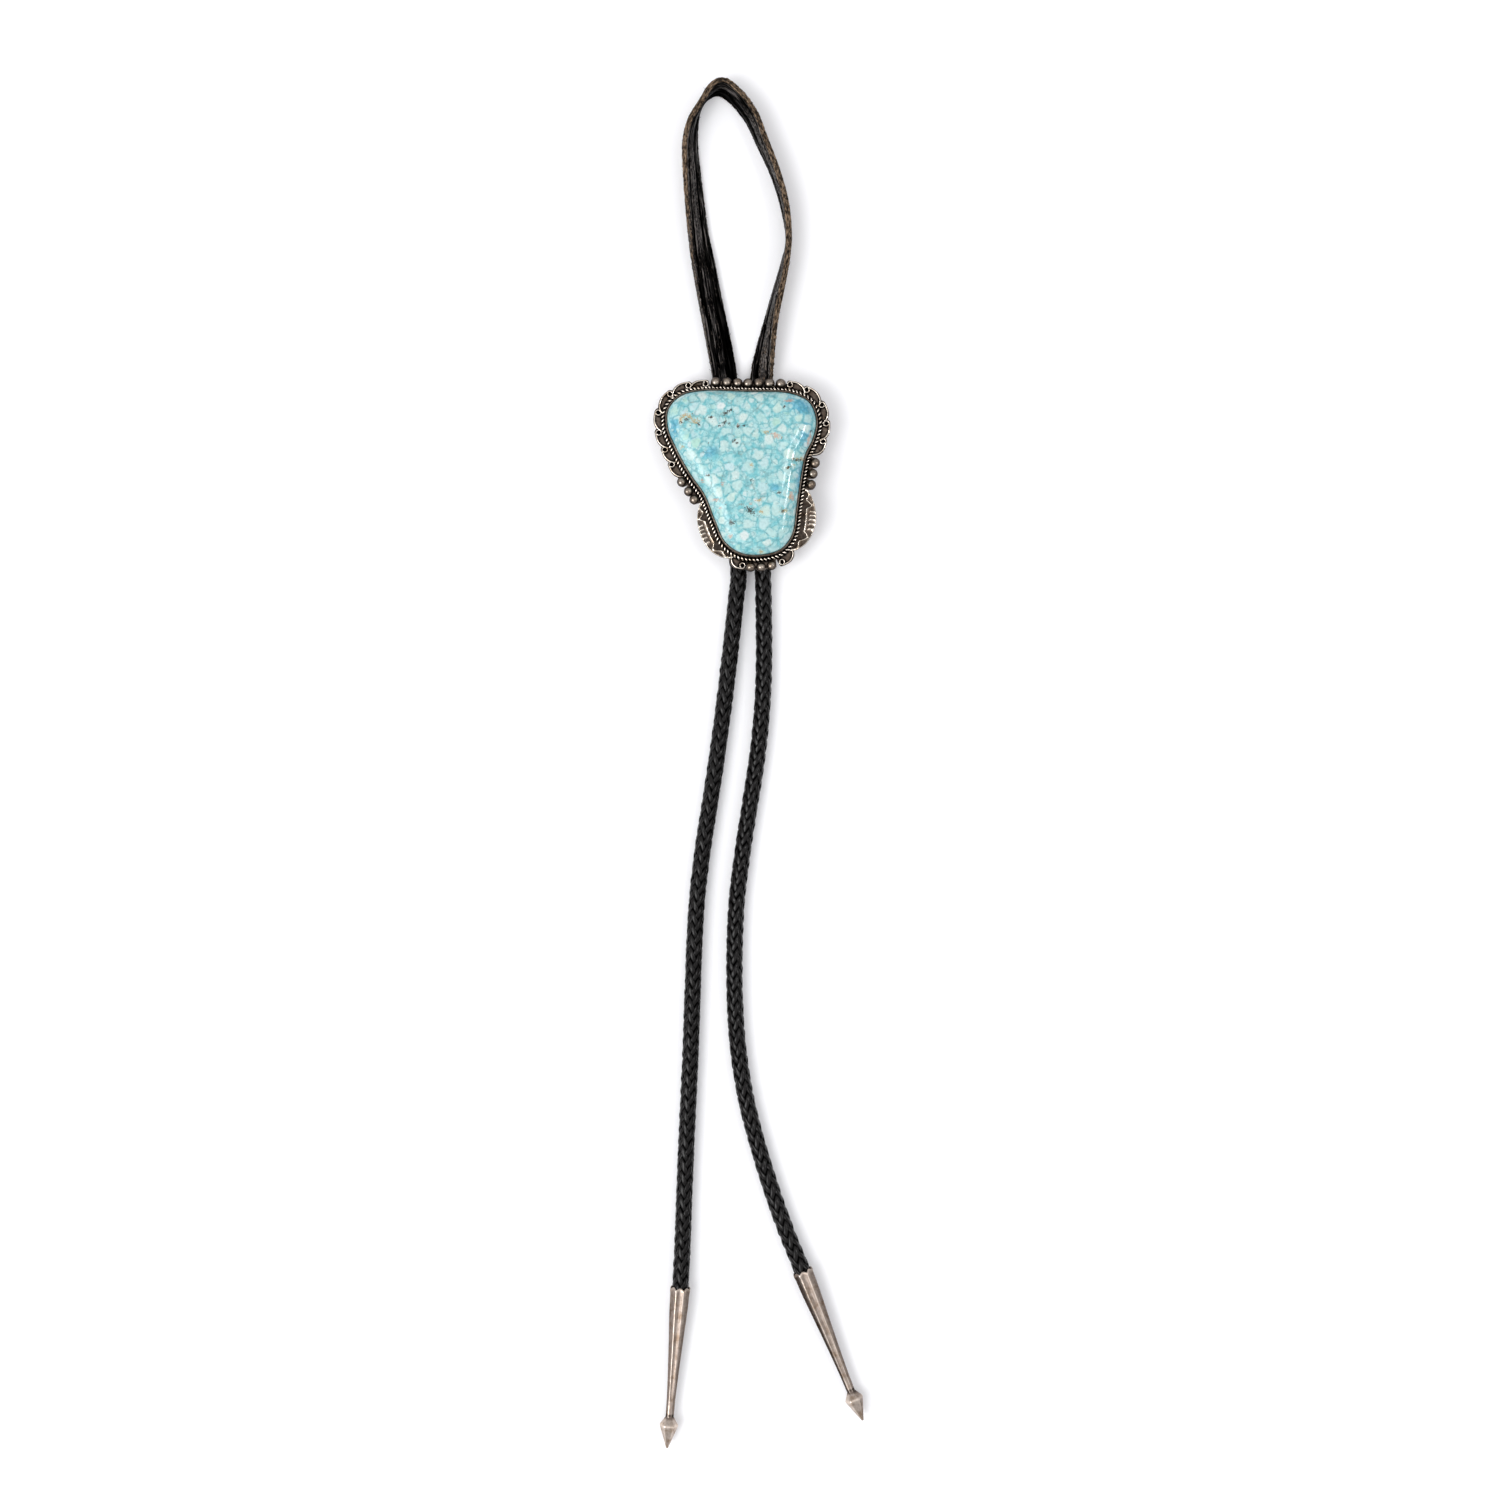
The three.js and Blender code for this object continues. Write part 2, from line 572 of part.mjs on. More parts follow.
// A fluted tip along -Y from its mouth, where the lobes end in scallops, to the spear at its far end
function tipGeometry() {
  const sides = TIP_FLUTES * FLUTE_STEPS;
  const lobe = (k) => Math.abs(Math.sin((Math.PI * k) / FLUTE_STEPS));
  const along = new THREE.Vector3(0, -1, 0);
  const across = new THREE.Vector3(1, 0, 0);
  const section = (distance, count, radiusAt) =>
    ringPoints(along.clone().multiplyScalar(distance), across, UP, count, radiusAt);
  const outer = CONE.map(({ along: distance, radius }, i) => {
    const ring = section(distance, sides, (k) => radius * (1 - FLUTE_DEPTH * (1 - lobe(k))));
    return i ? ring : ring.map((p, k) => p.addScaledVector(along, -MOUTH_SCALLOP * lobe(k)));
  });
  const spear = FINIAL.map(({ along: distance, radius }) => section(distance, FINIAL_SIDES, () => radius));
  const bore = [
    { distance: -2 * MOUTH_SCALLOP, radius: SOCKET_RADIUS },
    { distance: 0, radius: SOCKET_RADIUS },
    { distance: SOCKET_DEPTH, radius: SOCKET_FLOOR_RADIUS },
  ].map(({ distance, radius }) => section(distance, CHANNEL_SIDES, () => radius));
  const body = fuse([loft(outer), loft(spear)]).subtract(solidFrom(loft(bore)));
  return geometryFrom(body);
}

function part(name, geometry, finish) {
  const mesh = new THREE.Mesh(geometry, new THREE.MeshStandardMaterial(finish));
  mesh.name = name;
  return mesh;
}

function placedTip(name, tip) {
  const holder = new THREE.Group();
  holder.position.copy(tipMouth(tip));
  holder.quaternion.setFromUnitVectors(new THREE.Vector3(0, -1, 0), tipHeading(tip));
  holder.add(part(name, tipGeometry(), FINISHES.tipSilver));
  return holder;
}

const slide = new THREE.Group();
slide.add(
  part("turquoise_stone", stoneGeometry(), FINISHES.turquoise),
  part("silver_setting", settingGeometry(), FINISHES.silver),
  part("slide_clip", clipGeometry(), FINISHES.clipMetal),
);

const leather = new THREE.Group();
leather.add(
  part("neck_strap", strapGeometry(), FINISHES.strapLeather),
  part("left_braid", tailGeometry(LEFT_TAIL, LEFT_TIP), FINISHES.braidLeather),
  part("right_braid", tailGeometry(RIGHT_TAIL, RIGHT_TIP), FINISHES.braidLeather),
);

const boloTie = new THREE.Group();
boloTie.add(slide, leather, placedTip("left_tip", LEFT_TIP), placedTip("right_tip", RIGHT_TIP));

export default boloTie;
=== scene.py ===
"""Looks of a bolo tie laid on a table: a turquoise cabochon in a silver slide, a leather neck strap,
two braided tails and two fluted silver tips. Tables are in millimetres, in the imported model's frame."""
import math

import bmesh
import bpy
import numpy as np
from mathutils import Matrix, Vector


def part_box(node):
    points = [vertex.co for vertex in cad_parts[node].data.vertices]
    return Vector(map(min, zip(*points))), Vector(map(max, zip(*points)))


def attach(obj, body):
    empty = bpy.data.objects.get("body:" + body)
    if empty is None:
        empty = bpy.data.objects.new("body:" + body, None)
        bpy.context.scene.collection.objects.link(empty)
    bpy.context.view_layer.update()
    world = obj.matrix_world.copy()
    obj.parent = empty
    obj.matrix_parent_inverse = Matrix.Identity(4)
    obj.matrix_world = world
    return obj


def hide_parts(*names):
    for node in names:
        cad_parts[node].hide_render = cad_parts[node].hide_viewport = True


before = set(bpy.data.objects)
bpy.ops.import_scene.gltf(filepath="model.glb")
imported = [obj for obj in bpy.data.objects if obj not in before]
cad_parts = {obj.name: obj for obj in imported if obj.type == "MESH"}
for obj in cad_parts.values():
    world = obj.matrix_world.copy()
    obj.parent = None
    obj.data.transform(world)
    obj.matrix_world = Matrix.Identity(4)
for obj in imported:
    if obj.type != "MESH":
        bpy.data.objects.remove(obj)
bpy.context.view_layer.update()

MM = 0.001
TAU = 2 * math.pi
UP = np.array([0.0, 0.0, 1.0])

# Photograph: the camera looks straight down, and its view is as wide as this at the table
CAMERA_X = 1.18
CAMERA_Y = -95.4
CAMERA_HEIGHT = 800.0
VIEW_WIDTH = 525.0

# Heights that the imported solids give
STONE_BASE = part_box("turquoise_stone")[0].z / MM
PLATE_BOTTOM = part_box("silver_setting")[0].z / MM
PLATE_TOP = PLATE_BOTTOM + 1.0

# Stone: plan outline, anticlockwise from the right waist (x, y)
STONE_OUTLINE = (
    (18.9, 0.5), (20.1, 6.2), (22.8, 12.0), (23.9, 18.0), (21.6, 24.2), (15.2, 27.3), (0.0, 28.0),
    (-15.6, 28.2), (-22.4, 26.6), (-26.7, 22.2), (-27.1, 16.0), (-24.1, 8.4), (-19.5, 0.0),
    (-14.3, -7.6), (-10.8, -16.3), (-7.4, -23.6), (-2.2, -27.4), (5.0, -28.1), (11.8, -26.1),
    (15.6, -21.2), (17.1, -11.8),
)
# Dome from the edge to the crown (inset from the outline, way further in to the middle, rise)
STONE_REACH = 20.0
STONE_DOME = (
    (0.0, 0.0, 0.0), (0.0, 0.0, 3.0), (0.3, 0.0, 4.2), (1.0, 0.0, 5.4), (2.2, 0.0, 6.55),
    (4.0, 0.0, 7.4), (4.0, 6.0, 8.0), (4.0, 13.0, 8.4), (4.0, STONE_REACH, 8.5),
)
# Rings of the dome, and points round each
STONE_RINGS = 92
STONE_STEPS = 540
# The dome sinks by this much towards its narrow foot, from one y to another
STONE_FALL = 0.7
STONE_FALL_FROM = 0.0
STONE_FALL_TO = -26.0
# and is this uneven, with its dark marks sunk so deep
STONE_UNEVEN = 0.02
MARK_DEPTH = 0.1
# Marks of the stone's matrix, by kind (x, y, half width, half height, lean in degrees)
STONE_MARKS = {
    "gold": (
        (-21.6, 18.9, 1.5, 0.8, 35), (-19.6, 18.7, 1.3, 0.8, -25), (-17.7, 17.2, 1.6, 0.9, -30),
        (-22.4, 17.3, 0.6, 1.1, 10), (-22.1, 8.5, 0.7, 0.6, 0), (6.7, 13.3, 0.9, 0.7, 0),
        (18.2, 4.4, 2.3, 0.6, 8), (14.9, 1.6, 1.7, 0.4, 25), (14.7, -8.9, 0.5, 0.9, 0),
        (12.8, -13.5, 1.2, 0.8, 0), (4.9, -13.8, 1.0, 0.5, 0), (4.3, -10.0, 1.1, 0.5, 5),
        (1.7, 2.2, 0.5, 0.6, 0), (4.9, -27.3, 0.8, 0.6, 0),
    ),
    "dark": (
        (-20.4, 17.8, 0.8, 0.4, 20), (-22.3, 16.9, 0.5, 0.4, 0), (-16.3, 16.0, 0.6, 0.5, 0),
        (-12.1, 18.5, 0.9, 0.35, 15), (-6.9, 20.1, 1.2, 0.45, 40), (-5.4, 21.0, 0.7, 0.35, 30),
        (-7.6, 16.6, 0.5, 0.9, -20), (-6.1, 16.3, 0.5, 0.4, 0), (-9.3, 15.6, 0.5, 0.35, 0),
        (-2.9, 15.3, 0.5, 0.6, 0), (-0.9, 15.6, 0.6, 0.35, 0), (-4.4, 10.3, 0.6, 0.45, 30),
        (-3.2, 9.7, 0.5, 0.35, 0), (12.8, 22.1, 0.6, 0.35, 20), (22.3, 14.1, 0.4, 0.5, 0),
        (17.5, 4.1, 1.4, 0.35, 5), (14.6, 1.5, 1.0, 0.3, 25), (11.1, -7.2, 0.8, 0.35, 35),
        (12.3, -13.6, 0.5, 0.4, 0), (1.2, -13.4, 1.7, 0.8, -32), (-13.2, -1.3, 0.6, 0.35, 0),
        (1.7, -3.1, 0.5, 0.45, 0), (-5.1, -17.3, 0.9, 0.7, 0),
    ),
    "rose": (
        (-2.9, 15.6, 0.7, 0.7, 30), (14.5, 24.3, 1.5, 0.55, 10), (10.0, 12.2, 1.5, 0.9, -20),
        (21.4, 11.3, 0.6, 2.0, -15), (15.5, -8.3, 0.8, 1.6, 8), (1.4, -11.0, 0.6, 0.5, 0),
        (-10.4, -9.6, 1.5, 0.45, 5), (-9.0, -12.5, 0.6, 0.4, 0), (-15.2, -3.1, 0.6, 0.6, 0),
        (-8.4, -4.6, 0.5, 0.6, 0), (-5.5, -22.1, 0.7, 0.7, 0),
    ),
    "blue": (
        (18.4, 22.6, 5.0, 3.0, -30), (20.2, 13.5, 1.6, 4.2, -12), (18.6, -2.0, 1.5, 5.0, 0),
        (-24.8, 15.0, 1.6, 3.4, 0), (-12.4, 6.5, 2.6, 1.6, 20), (9.6, -5.6, 1.4, 1.2, 0),
    ),
}

# Setting: offsets are measured outwards from the stone's outline
PLATE_OFFSET = 2.3
PLATE_STEPS = 1300
PLATE_SEAM = 0.5
PLATE_MARGIN = 0.08
# Edge of the plate, from its underside up (distance past the reach, height)
PLATE_EDGE = ((-0.25, 0.0), (-0.07, 0.08), (0.0, 0.25), (0.0, 0.75), (-0.07, 0.92), (-0.25, 1.0))
# Section of the bezel (offset, height above the plate)
BEZEL_SECTION = (
    (0.3, -0.1), (0.7, -0.1), (0.68, 2.6), (0.58, 3.4), (0.45, 3.6), (0.25, 3.62), (0.12, 3.5), (0.18, 3.2),
)
# Rope: offset of its middle, length of its line in outlines, height of its middle above the plate,
# length of a twist, and the radius of a wire and of its winding
ROPE_OFFSET = 1.45
ROPE_RUN = 1.06
ROPE_LEVEL = 0.05
ROPE_PITCH = 2.64
ROPE_STRAND = 0.43
ROPE_HELIX = 0.42
# Rows of raindrops (first and last share of the outline, offset, count)
DROP_ROWS = ((0.204, 0.33, 3.3, 7), (0.574, 0.617, 3.9, 3), (0.78, 0.815, 4.0, 3), (0.979, 1.024, 4.0, 3))
DROP_RADIUS = 1.7
DROP_FOOT = 0.86
DROP_SEED = 21
# Rows of wire scrolls (share of the first curl, step towards the tail, count, first and last offset)
SCROLL_ROWS = (
    (0.349, 0.0312, 7, 2.9, 3.8), (0.188, -0.029, 5, 3.5, 3.6), (0.832, 0.022, 1, 3.9, 3.9),
    (0.767, -0.02, 1, 3.8, 3.8),
)
SCROLL_WIRE = 0.28
SCROLL_LEVEL = 0.12
# Thickness of a scroll's wire from its tail to the end of its curl (share of the line, radius)
SCROLL_TAPER = ((0.0, 0.17), (0.08, SCROLL_WIRE), (0.3, SCROLL_WIRE), (0.45, 0.22), (1.0, 0.2))
# Bow of a scroll from its tail to its curl (share of the step, distance out from the curl)
SCROLL_BOW = ((1.0, -1.3), (0.91, -0.5), (0.74, 0.4), (0.42, 1.15))
# Curl of a scroll (turn in degrees from the tail's side, radius)
SCROLL_CURL = (
    (65, 1.22), (105, 1.06), (150, 0.95), (200, 0.88), (250, 0.86), (300, 0.86), (350, 0.86), (400, 0.86),
    (435, 0.88),
)
CURL_HOLE = 0.72
HOLE_DEPTH = 0.6
# Stamped crescents (first and last share of the outline, widest offset)
CRESCENTS = ((0.63, 0.75, 6.6), (0.85, 0.97, 7.4))
CRESCENT_INNER = 1.8
CRESCENT_FULLNESS = 0.7
CRESCENT_LENGTH = 20.5
# Bars across a crescent, from its middle (share of its length), and their half width
CRESCENT_BARS = (-0.14, -0.07, 0.0, 0.07, 0.14)
BAR_HALF_WIDTH = 0.34

# Neck strap (x, y, lean of the upper edge from upright in degrees, width, lift)
STRAP_LINE = (
    (-5.25, 0.15, 90, 5.4, 2.9), (-5.25, 13.0, 90, 5.4, 2.9), (-6.2, 24.0, 86, 7.2, 1.4),
    (-7.7, 35.5, 80, 8.6, 0), (-9.6, 46.0, 75, 8.7, 0), (-12.4, 59.9, 64, 8.7, 0),
    (-15.0, 73.8, 58, 8.7, 0), (-16.8, 84.3, 46, 8.6, 0), (-18.0, 94.7, 40, 8.6, 0),
    (-19.0, 105.2, 34, 8.6, 0), (-19.6, 115.6, 26, 8.6, 0), (-18.6, 123.0, 12, 8.6, 0),
    (-15.8, 129.8, -6, 8.6, 0), (-12.4, 134.0, 5, 8.6, 0), (-8.7, 135.3, 22, 8.6, 0),
    (-4.1, 132.3, 23, 8.6, 0), (1.4, 125.4, 21, 8.6, 0), (5.4, 116.4, 15, 8.6, 0),
    (10.1, 105.1, 9, 8.6, 0), (13.4, 93.5, 6, 8.6, 0), (14.6, 82.5, 0, 8.6, 0),
    (13.6, 75.5, 8, 8.6, 0), (11.4, 66.0, 16, 8.6, 0), (8.7, 55.0, 23, 8.6, 0),
    (6.7, 45.0, 38, 8.6, 0), (5.3, 35.5, 60, 8.2, 0.2), (5.1, 24.0, 82, 6.8, 1.6),
    (5.25, 13.0, 90, 5.4, 2.9), (5.25, 0.15, 90, 5.4, 2.9),
)
STRAP_STEPS = 26
STRAP_HALF_WIDTH = 4.3
STRAP_THICKNESS = 2.0
STRAP_BOW = 0.2
# Creased face of the strap from its lower edge to its upper (share of the half width, depth)
STRAP_FACE = (
    (-0.93, 0.05), (-0.72, 0.0), (-0.52, 0.06), (-0.4, 0.45), (-0.3, 0.45), (-0.16, 0.06), (0.1, 0.0),
    (0.32, 0.0), (0.48, 0.08), (0.58, 0.5), (0.66, 0.5), (0.76, 0.08), (0.93, 0.05),
)
# Cut edge of the strap from its face to its back (share of the half width, depth)
STRAP_EDGE = ((0.97, 0.05), (0.995, 0.2), (1.0, 0.6), (1.0, 1.0), (1.0, 1.4), (0.995, 1.8), (0.97, 1.97))
STRAP_BACK_RAW = 0.62
# How rough and tan the leather is along the strap (share of its length, at the cut edges, on the face),
# and how much painted shade blackens the lower half of the face; a face value below 0 paints the face black,
# as the shadow inside the loop's top
STRAP_RAW_AND_SHADE = (
    (0.0, 0.3, -0.2, 0.5), (0.2, 0.35, -0.1, 0.45), (0.3, 0.6, 0.14, 0.2), (0.4, 1.0, 0.22, 0.1),
    (0.47, 1.0, -0.35, 0.5), (0.56, 1.0, 0.22, 0.5), (0.72, 1.0, 0.28, 0.5), (0.8, 1.0, 0.32, 0.5),
    (0.88, 0.9, 0.46, 0.5), (1.0, 0.8, 0.46, 0.5),
)
# Tries for a loose fibre, the share of the fibres that are long, and how much longer they are
FIBRE_TRIES = 3600
FIBRE_SEED = 17
LONG_FIBRES = 0.05
LONG_FIBRE_REACH = 3.2

# Braided tails from the clip to near their tips (y, z, x of the left tail, x of the right tail)
TAILS = (
    (-0.15, 4.1, -5.25, 5.25), (-12.5, 4.1, -5.25, 5.25), (-23.5, 3.5, -4.2, 5.45), (-34.4, 3, -2.8, 5.7),
    (-43.1, 3, -3.7, 5.9), (-60.6, 3, -5.6, 6.1), (-78.0, 3, -7.7, 5.6), (-95.4, 3, -10.0, 4.0),
    (-112.9, 3, -12.6, 1.4), (-130.3, 3, -15.3, -1.3), (-147.7, 3, -17.3, -3.4), (-165.2, 3, -18.3, -4.2),
    (-182.6, 3, -18.9, -4.1), (-200.0, 3, -19.5, -2.9), (-217.5, 3, -20.3, -0.1), (-234.9, 3, -21.1, 4.4),
    (-252.3, 3, -21.8, 9.9),
)
# Each with its last point before the tip (x, y, z), whose socket it ends in
LEFT_TAIL = [(x, y, z) for y, z, x, _ in TAILS] + [(-22.4, -269.8, 3.2)]
RIGHT_TAIL = [(x, y, z) for y, z, _, x in TAILS] + [(14.4, -264.6, 3.2)]
TAIL_POINTS = 900
TAIL_SOCKET = 6.0
TAIL_END_SHARE = 0.88
# Each tail has this many strands wound each way
BRAID_STRANDS = 8
BRAID_TWO_OVER = BRAID_STRANDS / 2
BRAID_RADIUS = 2.3
BRAID_WEAVE = 0.26
STRAND_WIDTH = 1.66
STRAND_THICKNESS = 0.76
STRAND_CROWN = 0.12
# Section of a strand once round (share of the half width, share of the half thickness)
STRAND_SECTION = (
    (1.0, 0.0), (0.9, 0.72), (0.5, 1.0), (-0.5, 1.0), (-0.9, 0.72), (-1.0, 0.0), (-0.6, -1.0), (0.6, -1.0),
)

# Fluted tips (mouth x and y, point x and y)
LEFT_TIP = (-23.1, -283.0, -27.8, -339.2)
RIGHT_TIP = (19.6, -277.2, 40.2, -328.3)
# Tips by side, and how much painted shade darkens one side of each, the cone's left and the spear's right
TIPS = {"left": (LEFT_TIP, 0.02), "right": (RIGHT_TIP, 0.3)}
# Braids by side (tail, tip, way along it in which a strand goes once round, phase in degrees, seed)
BRAIDS = {"left": (LEFT_TAIL, LEFT_TIP, 34.6, 54, 101), "right": (RIGHT_TAIL, RIGHT_TIP, 37.0, 150, 201)}
TIP_FLUTES = 8
FLUTE_DEPTH = 0.13
MOUTH_RADIUS = 3.6
MOUTH_SCALLOP = 0.7
SOCKET_RADIUS = 3.25
SOCKET_DEPTH = 6.3
FLUTES_FADE = 34.0
FLUTES_END = 44.0
# Profiles of the cone and of the spear at its end (along, radius)
CONE = ((0.0, 3.6), (8.0, 3.35), (18.0, 2.7), (32.0, 1.9), (43.0, 1.45), (46.0, 1.4))
FINIAL = ((44.6, 0.9), (44.8, 1.5), (45.6, 1.95), (47.7, 3.4), (55.8, 0.35))
FINIAL_SHOULDER = (47.7, 3.4)

# Studio: brightness of the room at the horizon and overhead
SKY_LOW = 0.48
SKY_HIGH = 0.97
# and the share of it on the left and on the right
SKY_LEFT = 1.05
SKY_RIGHT = 0.84
SKY_TINT = (0.98, 0.98, 1.0, 1.0)
# Lamps (name, place, what it faces, width, length, power), in metres and watts: a softbox, and three
# small ones that stand for the strips of window mirrored in the stone
SOFTBOX = ("key", (-1.32, -0.77, 1.9), (0.0, -0.1, 0.0), 2.3, 2.0, 31.0)
SOFTBOX_GAIN = 3.8
WINDOWS = (
    ("window_upper", (1.05, -0.235, 1.33), (0.0, 0.0, 0.01), 0.13, 0.13, 1.06),
    ("window_lower", (1.05, -0.02, 1.33), (0.0, 0.0, 0.01), 0.2, 0.1, 1.8),
    ("window_frame", (0.38, 0.075, 1.33), (0.0, 0.0, 0.01), 0.1, 0.12, 0.5),
)
# The white table glows a little, painted light that lifts the shade around the pieces
TABLE_GLOW = 0.11


# Numbers and lines

def unit(vectors):
    return vectors / np.linalg.norm(vectors, axis=-1, keepdims=True)


def circle(count):
    """Angles once round."""
    return TAU * np.arange(count) / count


def swung(turn, first, second):
    """Directions at angles from one axis towards another."""
    return np.cos(turn)[..., None] * first + np.sin(turn)[..., None] * second


def sideways(ahead, up=UP):
    """The two axes across a heading: the level one and the one towards up."""
    across = unit(np.cross(ahead, up))
    return across, np.cross(across, ahead)


def raised(plan, level):
    """Plan points at one height, or each at its own."""
    return np.concatenate([plan, np.broadcast_to(level, plan.shape[:-1])[..., None]], -1)


def smooth(low, high, value):
    """0 below low and 1 above high, with a soft step between."""
    share = np.clip((value - low) / (high - low), 0, 1)
    return share * share * (3 - 2 * share)


def ripple(points, wavelength, seed, waves=7):
    """Seeded smooth wander about zero, at points of any dimension."""
    rng = np.random.default_rng(seed)
    total = np.zeros(points.shape[:-1])
    for _ in range(waves):
        heading = unit(rng.normal(size=points.shape[-1])) / (wavelength * rng.uniform(0.6, 1.6))
        total += np.sin(TAU * (points @ heading) + rng.uniform(0, TAU))
    return total / math.sqrt(waves)


def spline(points, steps, closed=False, power=0.5):
    """Points along a Catmull-Rom curve: centripetal with power 0.5, uniform with power 0."""
    inner = np.asarray(points, float)
    if closed:
        knots = np.vstack([inner[-1:], inner, inner[:2]])
    else:
        knots = np.vstack([2 * inner[0] - inner[1], inner, 2 * inner[-1] - inner[-2]])
    t = np.linspace(0, 1, steps, endpoint=False)[:, None]
    spans = []
    for a, b, c, d in zip(knots, knots[1:], knots[2:], knots[3:]):
        before, here, after = (math.dist(u, v) ** power for u, v in ((a, b), (b, c), (c, d)))
        leave = ((b - a) / before - (c - a) / (before + here) + (c - b) / here) * here
        reach = ((c - b) / here - (d - b) / (here + after) + (d - c) / after) * here
        square = 3 * (c - b) - 2 * leave - reach
        cube = 2 * (b - c) + leave + reach
        spans.append(b + leave * t + square * t**2 + cube * t**3)
    if not closed:
        spans.append(inner[-1:])
    return np.vstack(spans)


def run_of(path):
    """Distance along a line at each of its points."""
    return np.concatenate([[0], np.cumsum(np.linalg.norm(np.diff(path, axis=0), axis=1))])


def pick(places, run, values):
    """Rows of values, which stand at run, taken at other places."""
    return np.stack([np.interp(places, run, column) for column in values.T], -1)


def evenly(path, count):
    """A line again, with that many points at even distances."""
    run = run_of(path)
    return pick(np.linspace(0, run[-1], count), run, path)


# The stone's outline, and places beside it

OUTLINE = spline(STONE_OUTLINE, 64, closed=True)
OUTLINE = np.vstack([OUTLINE, OUTLINE[:1]])
OUTLINE_RUN = run_of(OUTLINE)
OUTLINE_LENGTH = OUTLINE_RUN[-1]
OUTLINE_AHEAD = unit(np.roll(OUTLINE[:-1], -1, 0) - np.roll(OUTLINE[:-1], 1, 0))
OUTLINE_OUTWARD = np.stack([OUTLINE_AHEAD[:, 1], -OUTLINE_AHEAD[:, 0]], -1)
OUTLINE_OUTWARD = np.vstack([OUTLINE_OUTWARD, OUTLINE_OUTWARD[:1]])


def beside(share, offset):
    """Plan points at shares of the way round the outline, that far outwards from it."""
    share, offset = np.broadcast_arrays(np.asarray(share, float), np.asarray(offset, float))
    place = share % 1 * OUTLINE_LENGTH
    return pick(place, OUTLINE_RUN, OUTLINE) + offset[..., None] * pick(place, OUTLINE_RUN, OUTLINE_OUTWARD)


def outline_place(points):
    """Share of the outline nearest to each plan point, and the distance outwards from there."""
    gaps = points[:, None] - OUTLINE[None, :-1]
    nearest = np.argmin((gaps**2).sum(-1), 1)
    rows = np.arange(len(points))
    offset = (gaps[rows, nearest] * OUTLINE_OUTWARD[nearest]).sum(-1)
    return OUTLINE_RUN[nearest] / OUTLINE_LENGTH, offset


# Meshes

def grid(rows, columns, wrap_rows=False, wrap_columns=False):
    """Four-sided faces over points that are numbered row by row."""
    index = np.arange(rows * columns).reshape(rows, columns)
    if wrap_rows:
        index = np.vstack([index, index[:1]])
    if wrap_columns:
        index = np.hstack([index, index[:, :1]])
    corners = (index[:-1, :-1], index[:-1, 1:], index[1:, 1:], index[1:, :-1])
    return np.stack(corners, -1).reshape(-1, 4)


def fan(ring, hub):
    """Three-sided faces from a ring of point numbers to a hub."""
    ring = np.asarray(ring)
    return np.stack([ring, np.roll(ring, -1), np.full(len(ring), hub)], 1)


class Skin:
    """Points, faces and a value for each point, gathered for one piece."""

    def __init__(self):
        self.points, self.faces, self.values = [], [], []
        self.count = 0

    def add(self, points, faces, values=0.0):
        points = np.asarray(points, float).reshape(-1, 3)
        for block in faces:
            self.faces.extend((np.asarray(block) + self.count).tolist())
        self.points.append(points)
        self.values.append(np.broadcast_to(np.asarray(values, float).reshape(-1), len(points)))
        self.count += len(points)

    def add_body(self, rings, values=0.0):
        """A closed body through rings of points, with a hub at each end."""
        rows, columns = rings.shape[:2]
        values = np.broadcast_to(values, (rows, columns))
        first = np.arange(columns)
        last = first + (rows - 1) * columns
        sides = grid(rows, columns, wrap_columns=True)
        faces = [sides, fan(first, rows * columns), fan(last, rows * columns + 1)]
        points = np.vstack([rings.reshape(-1, 3), rings[[0, -1]].mean(1)])
        self.add(points, faces, np.concatenate([values.reshape(-1), values[[0, -1]].mean(1)]))


def rims(ahead, sides):
    """Directions outwards, round a line that heads so at each of its points."""
    across, upward = sideways(ahead)
    return swung(circle(sides), across[:, None], upward[:, None])


def wire(skin, path, radius, sides=10, low=0.2, high=1.0):
    """A round wire along a path, with values from low on its underside to high on its top: painted shade
    below, painted light above.
    """
    rim = rims(unit(np.gradient(path, axis=0)), sides)
    points = path[:, None] + np.reshape(radius, (-1, 1, 1)) * rim
    skin.add_body(points, low + (high - low) * smooth(0.1, 0.95, rim[..., 2]))


def placed(name, data):
    """A new object in the scene."""
    made = bpy.data.objects.new(name, data)
    bpy.context.scene.collection.objects.link(made)
    return made


def piece(name, skin, material, slot, *nodes, sharp=None):
    """A shown piece that stands for CAD nodes and keeps its values, which hold rubbing with painted shade and
    highlight, as a point attribute.
    """
    mesh = bpy.data.meshes.new(name)
    mesh.from_pydata((np.vstack(skin.points) * MM).tolist(), [], skin.faces)
    shell = bmesh.new()
    shell.from_mesh(mesh)
    bmesh.ops.recalc_face_normals(shell, faces=shell.faces)
    shell.to_mesh(mesh)
    shell.free()
    wear_and_shading = mesh.attributes.new("wear_and_shading", "FLOAT", "POINT")
    wear_and_shading.data.foreach_set("value", np.concatenate(skin.values).astype(np.float32))
    mesh.shade_smooth()
    if sharp:
        mesh.set_sharp_from_angle(angle=math.radians(sharp))
    mesh.materials.append(material)
    made = placed(name, mesh)
    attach(made, "root")
    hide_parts(*nodes)
    return made


def lay(made, coordinates):
    """Keeps where each point lies along and across a piece, in millimetres, as the attribute lie."""
    lies = made.data.attributes.new("lie", "FLOAT_VECTOR", "POINT")
    lies.data.foreach_set("vector", (coordinates * MM).astype(np.float32).ravel())


# Materials

def tone(red, green, blue):
    """A colour as the eye sees it, 0 to 255, made linear."""
    shares = [c / 255 for c in (red, green, blue)]
    linear = [c / 12.92 if c <= 0.04045 else ((c + 0.055) / 1.055) ** 2.4 for c in shares]
    return (*linear, 1.0)


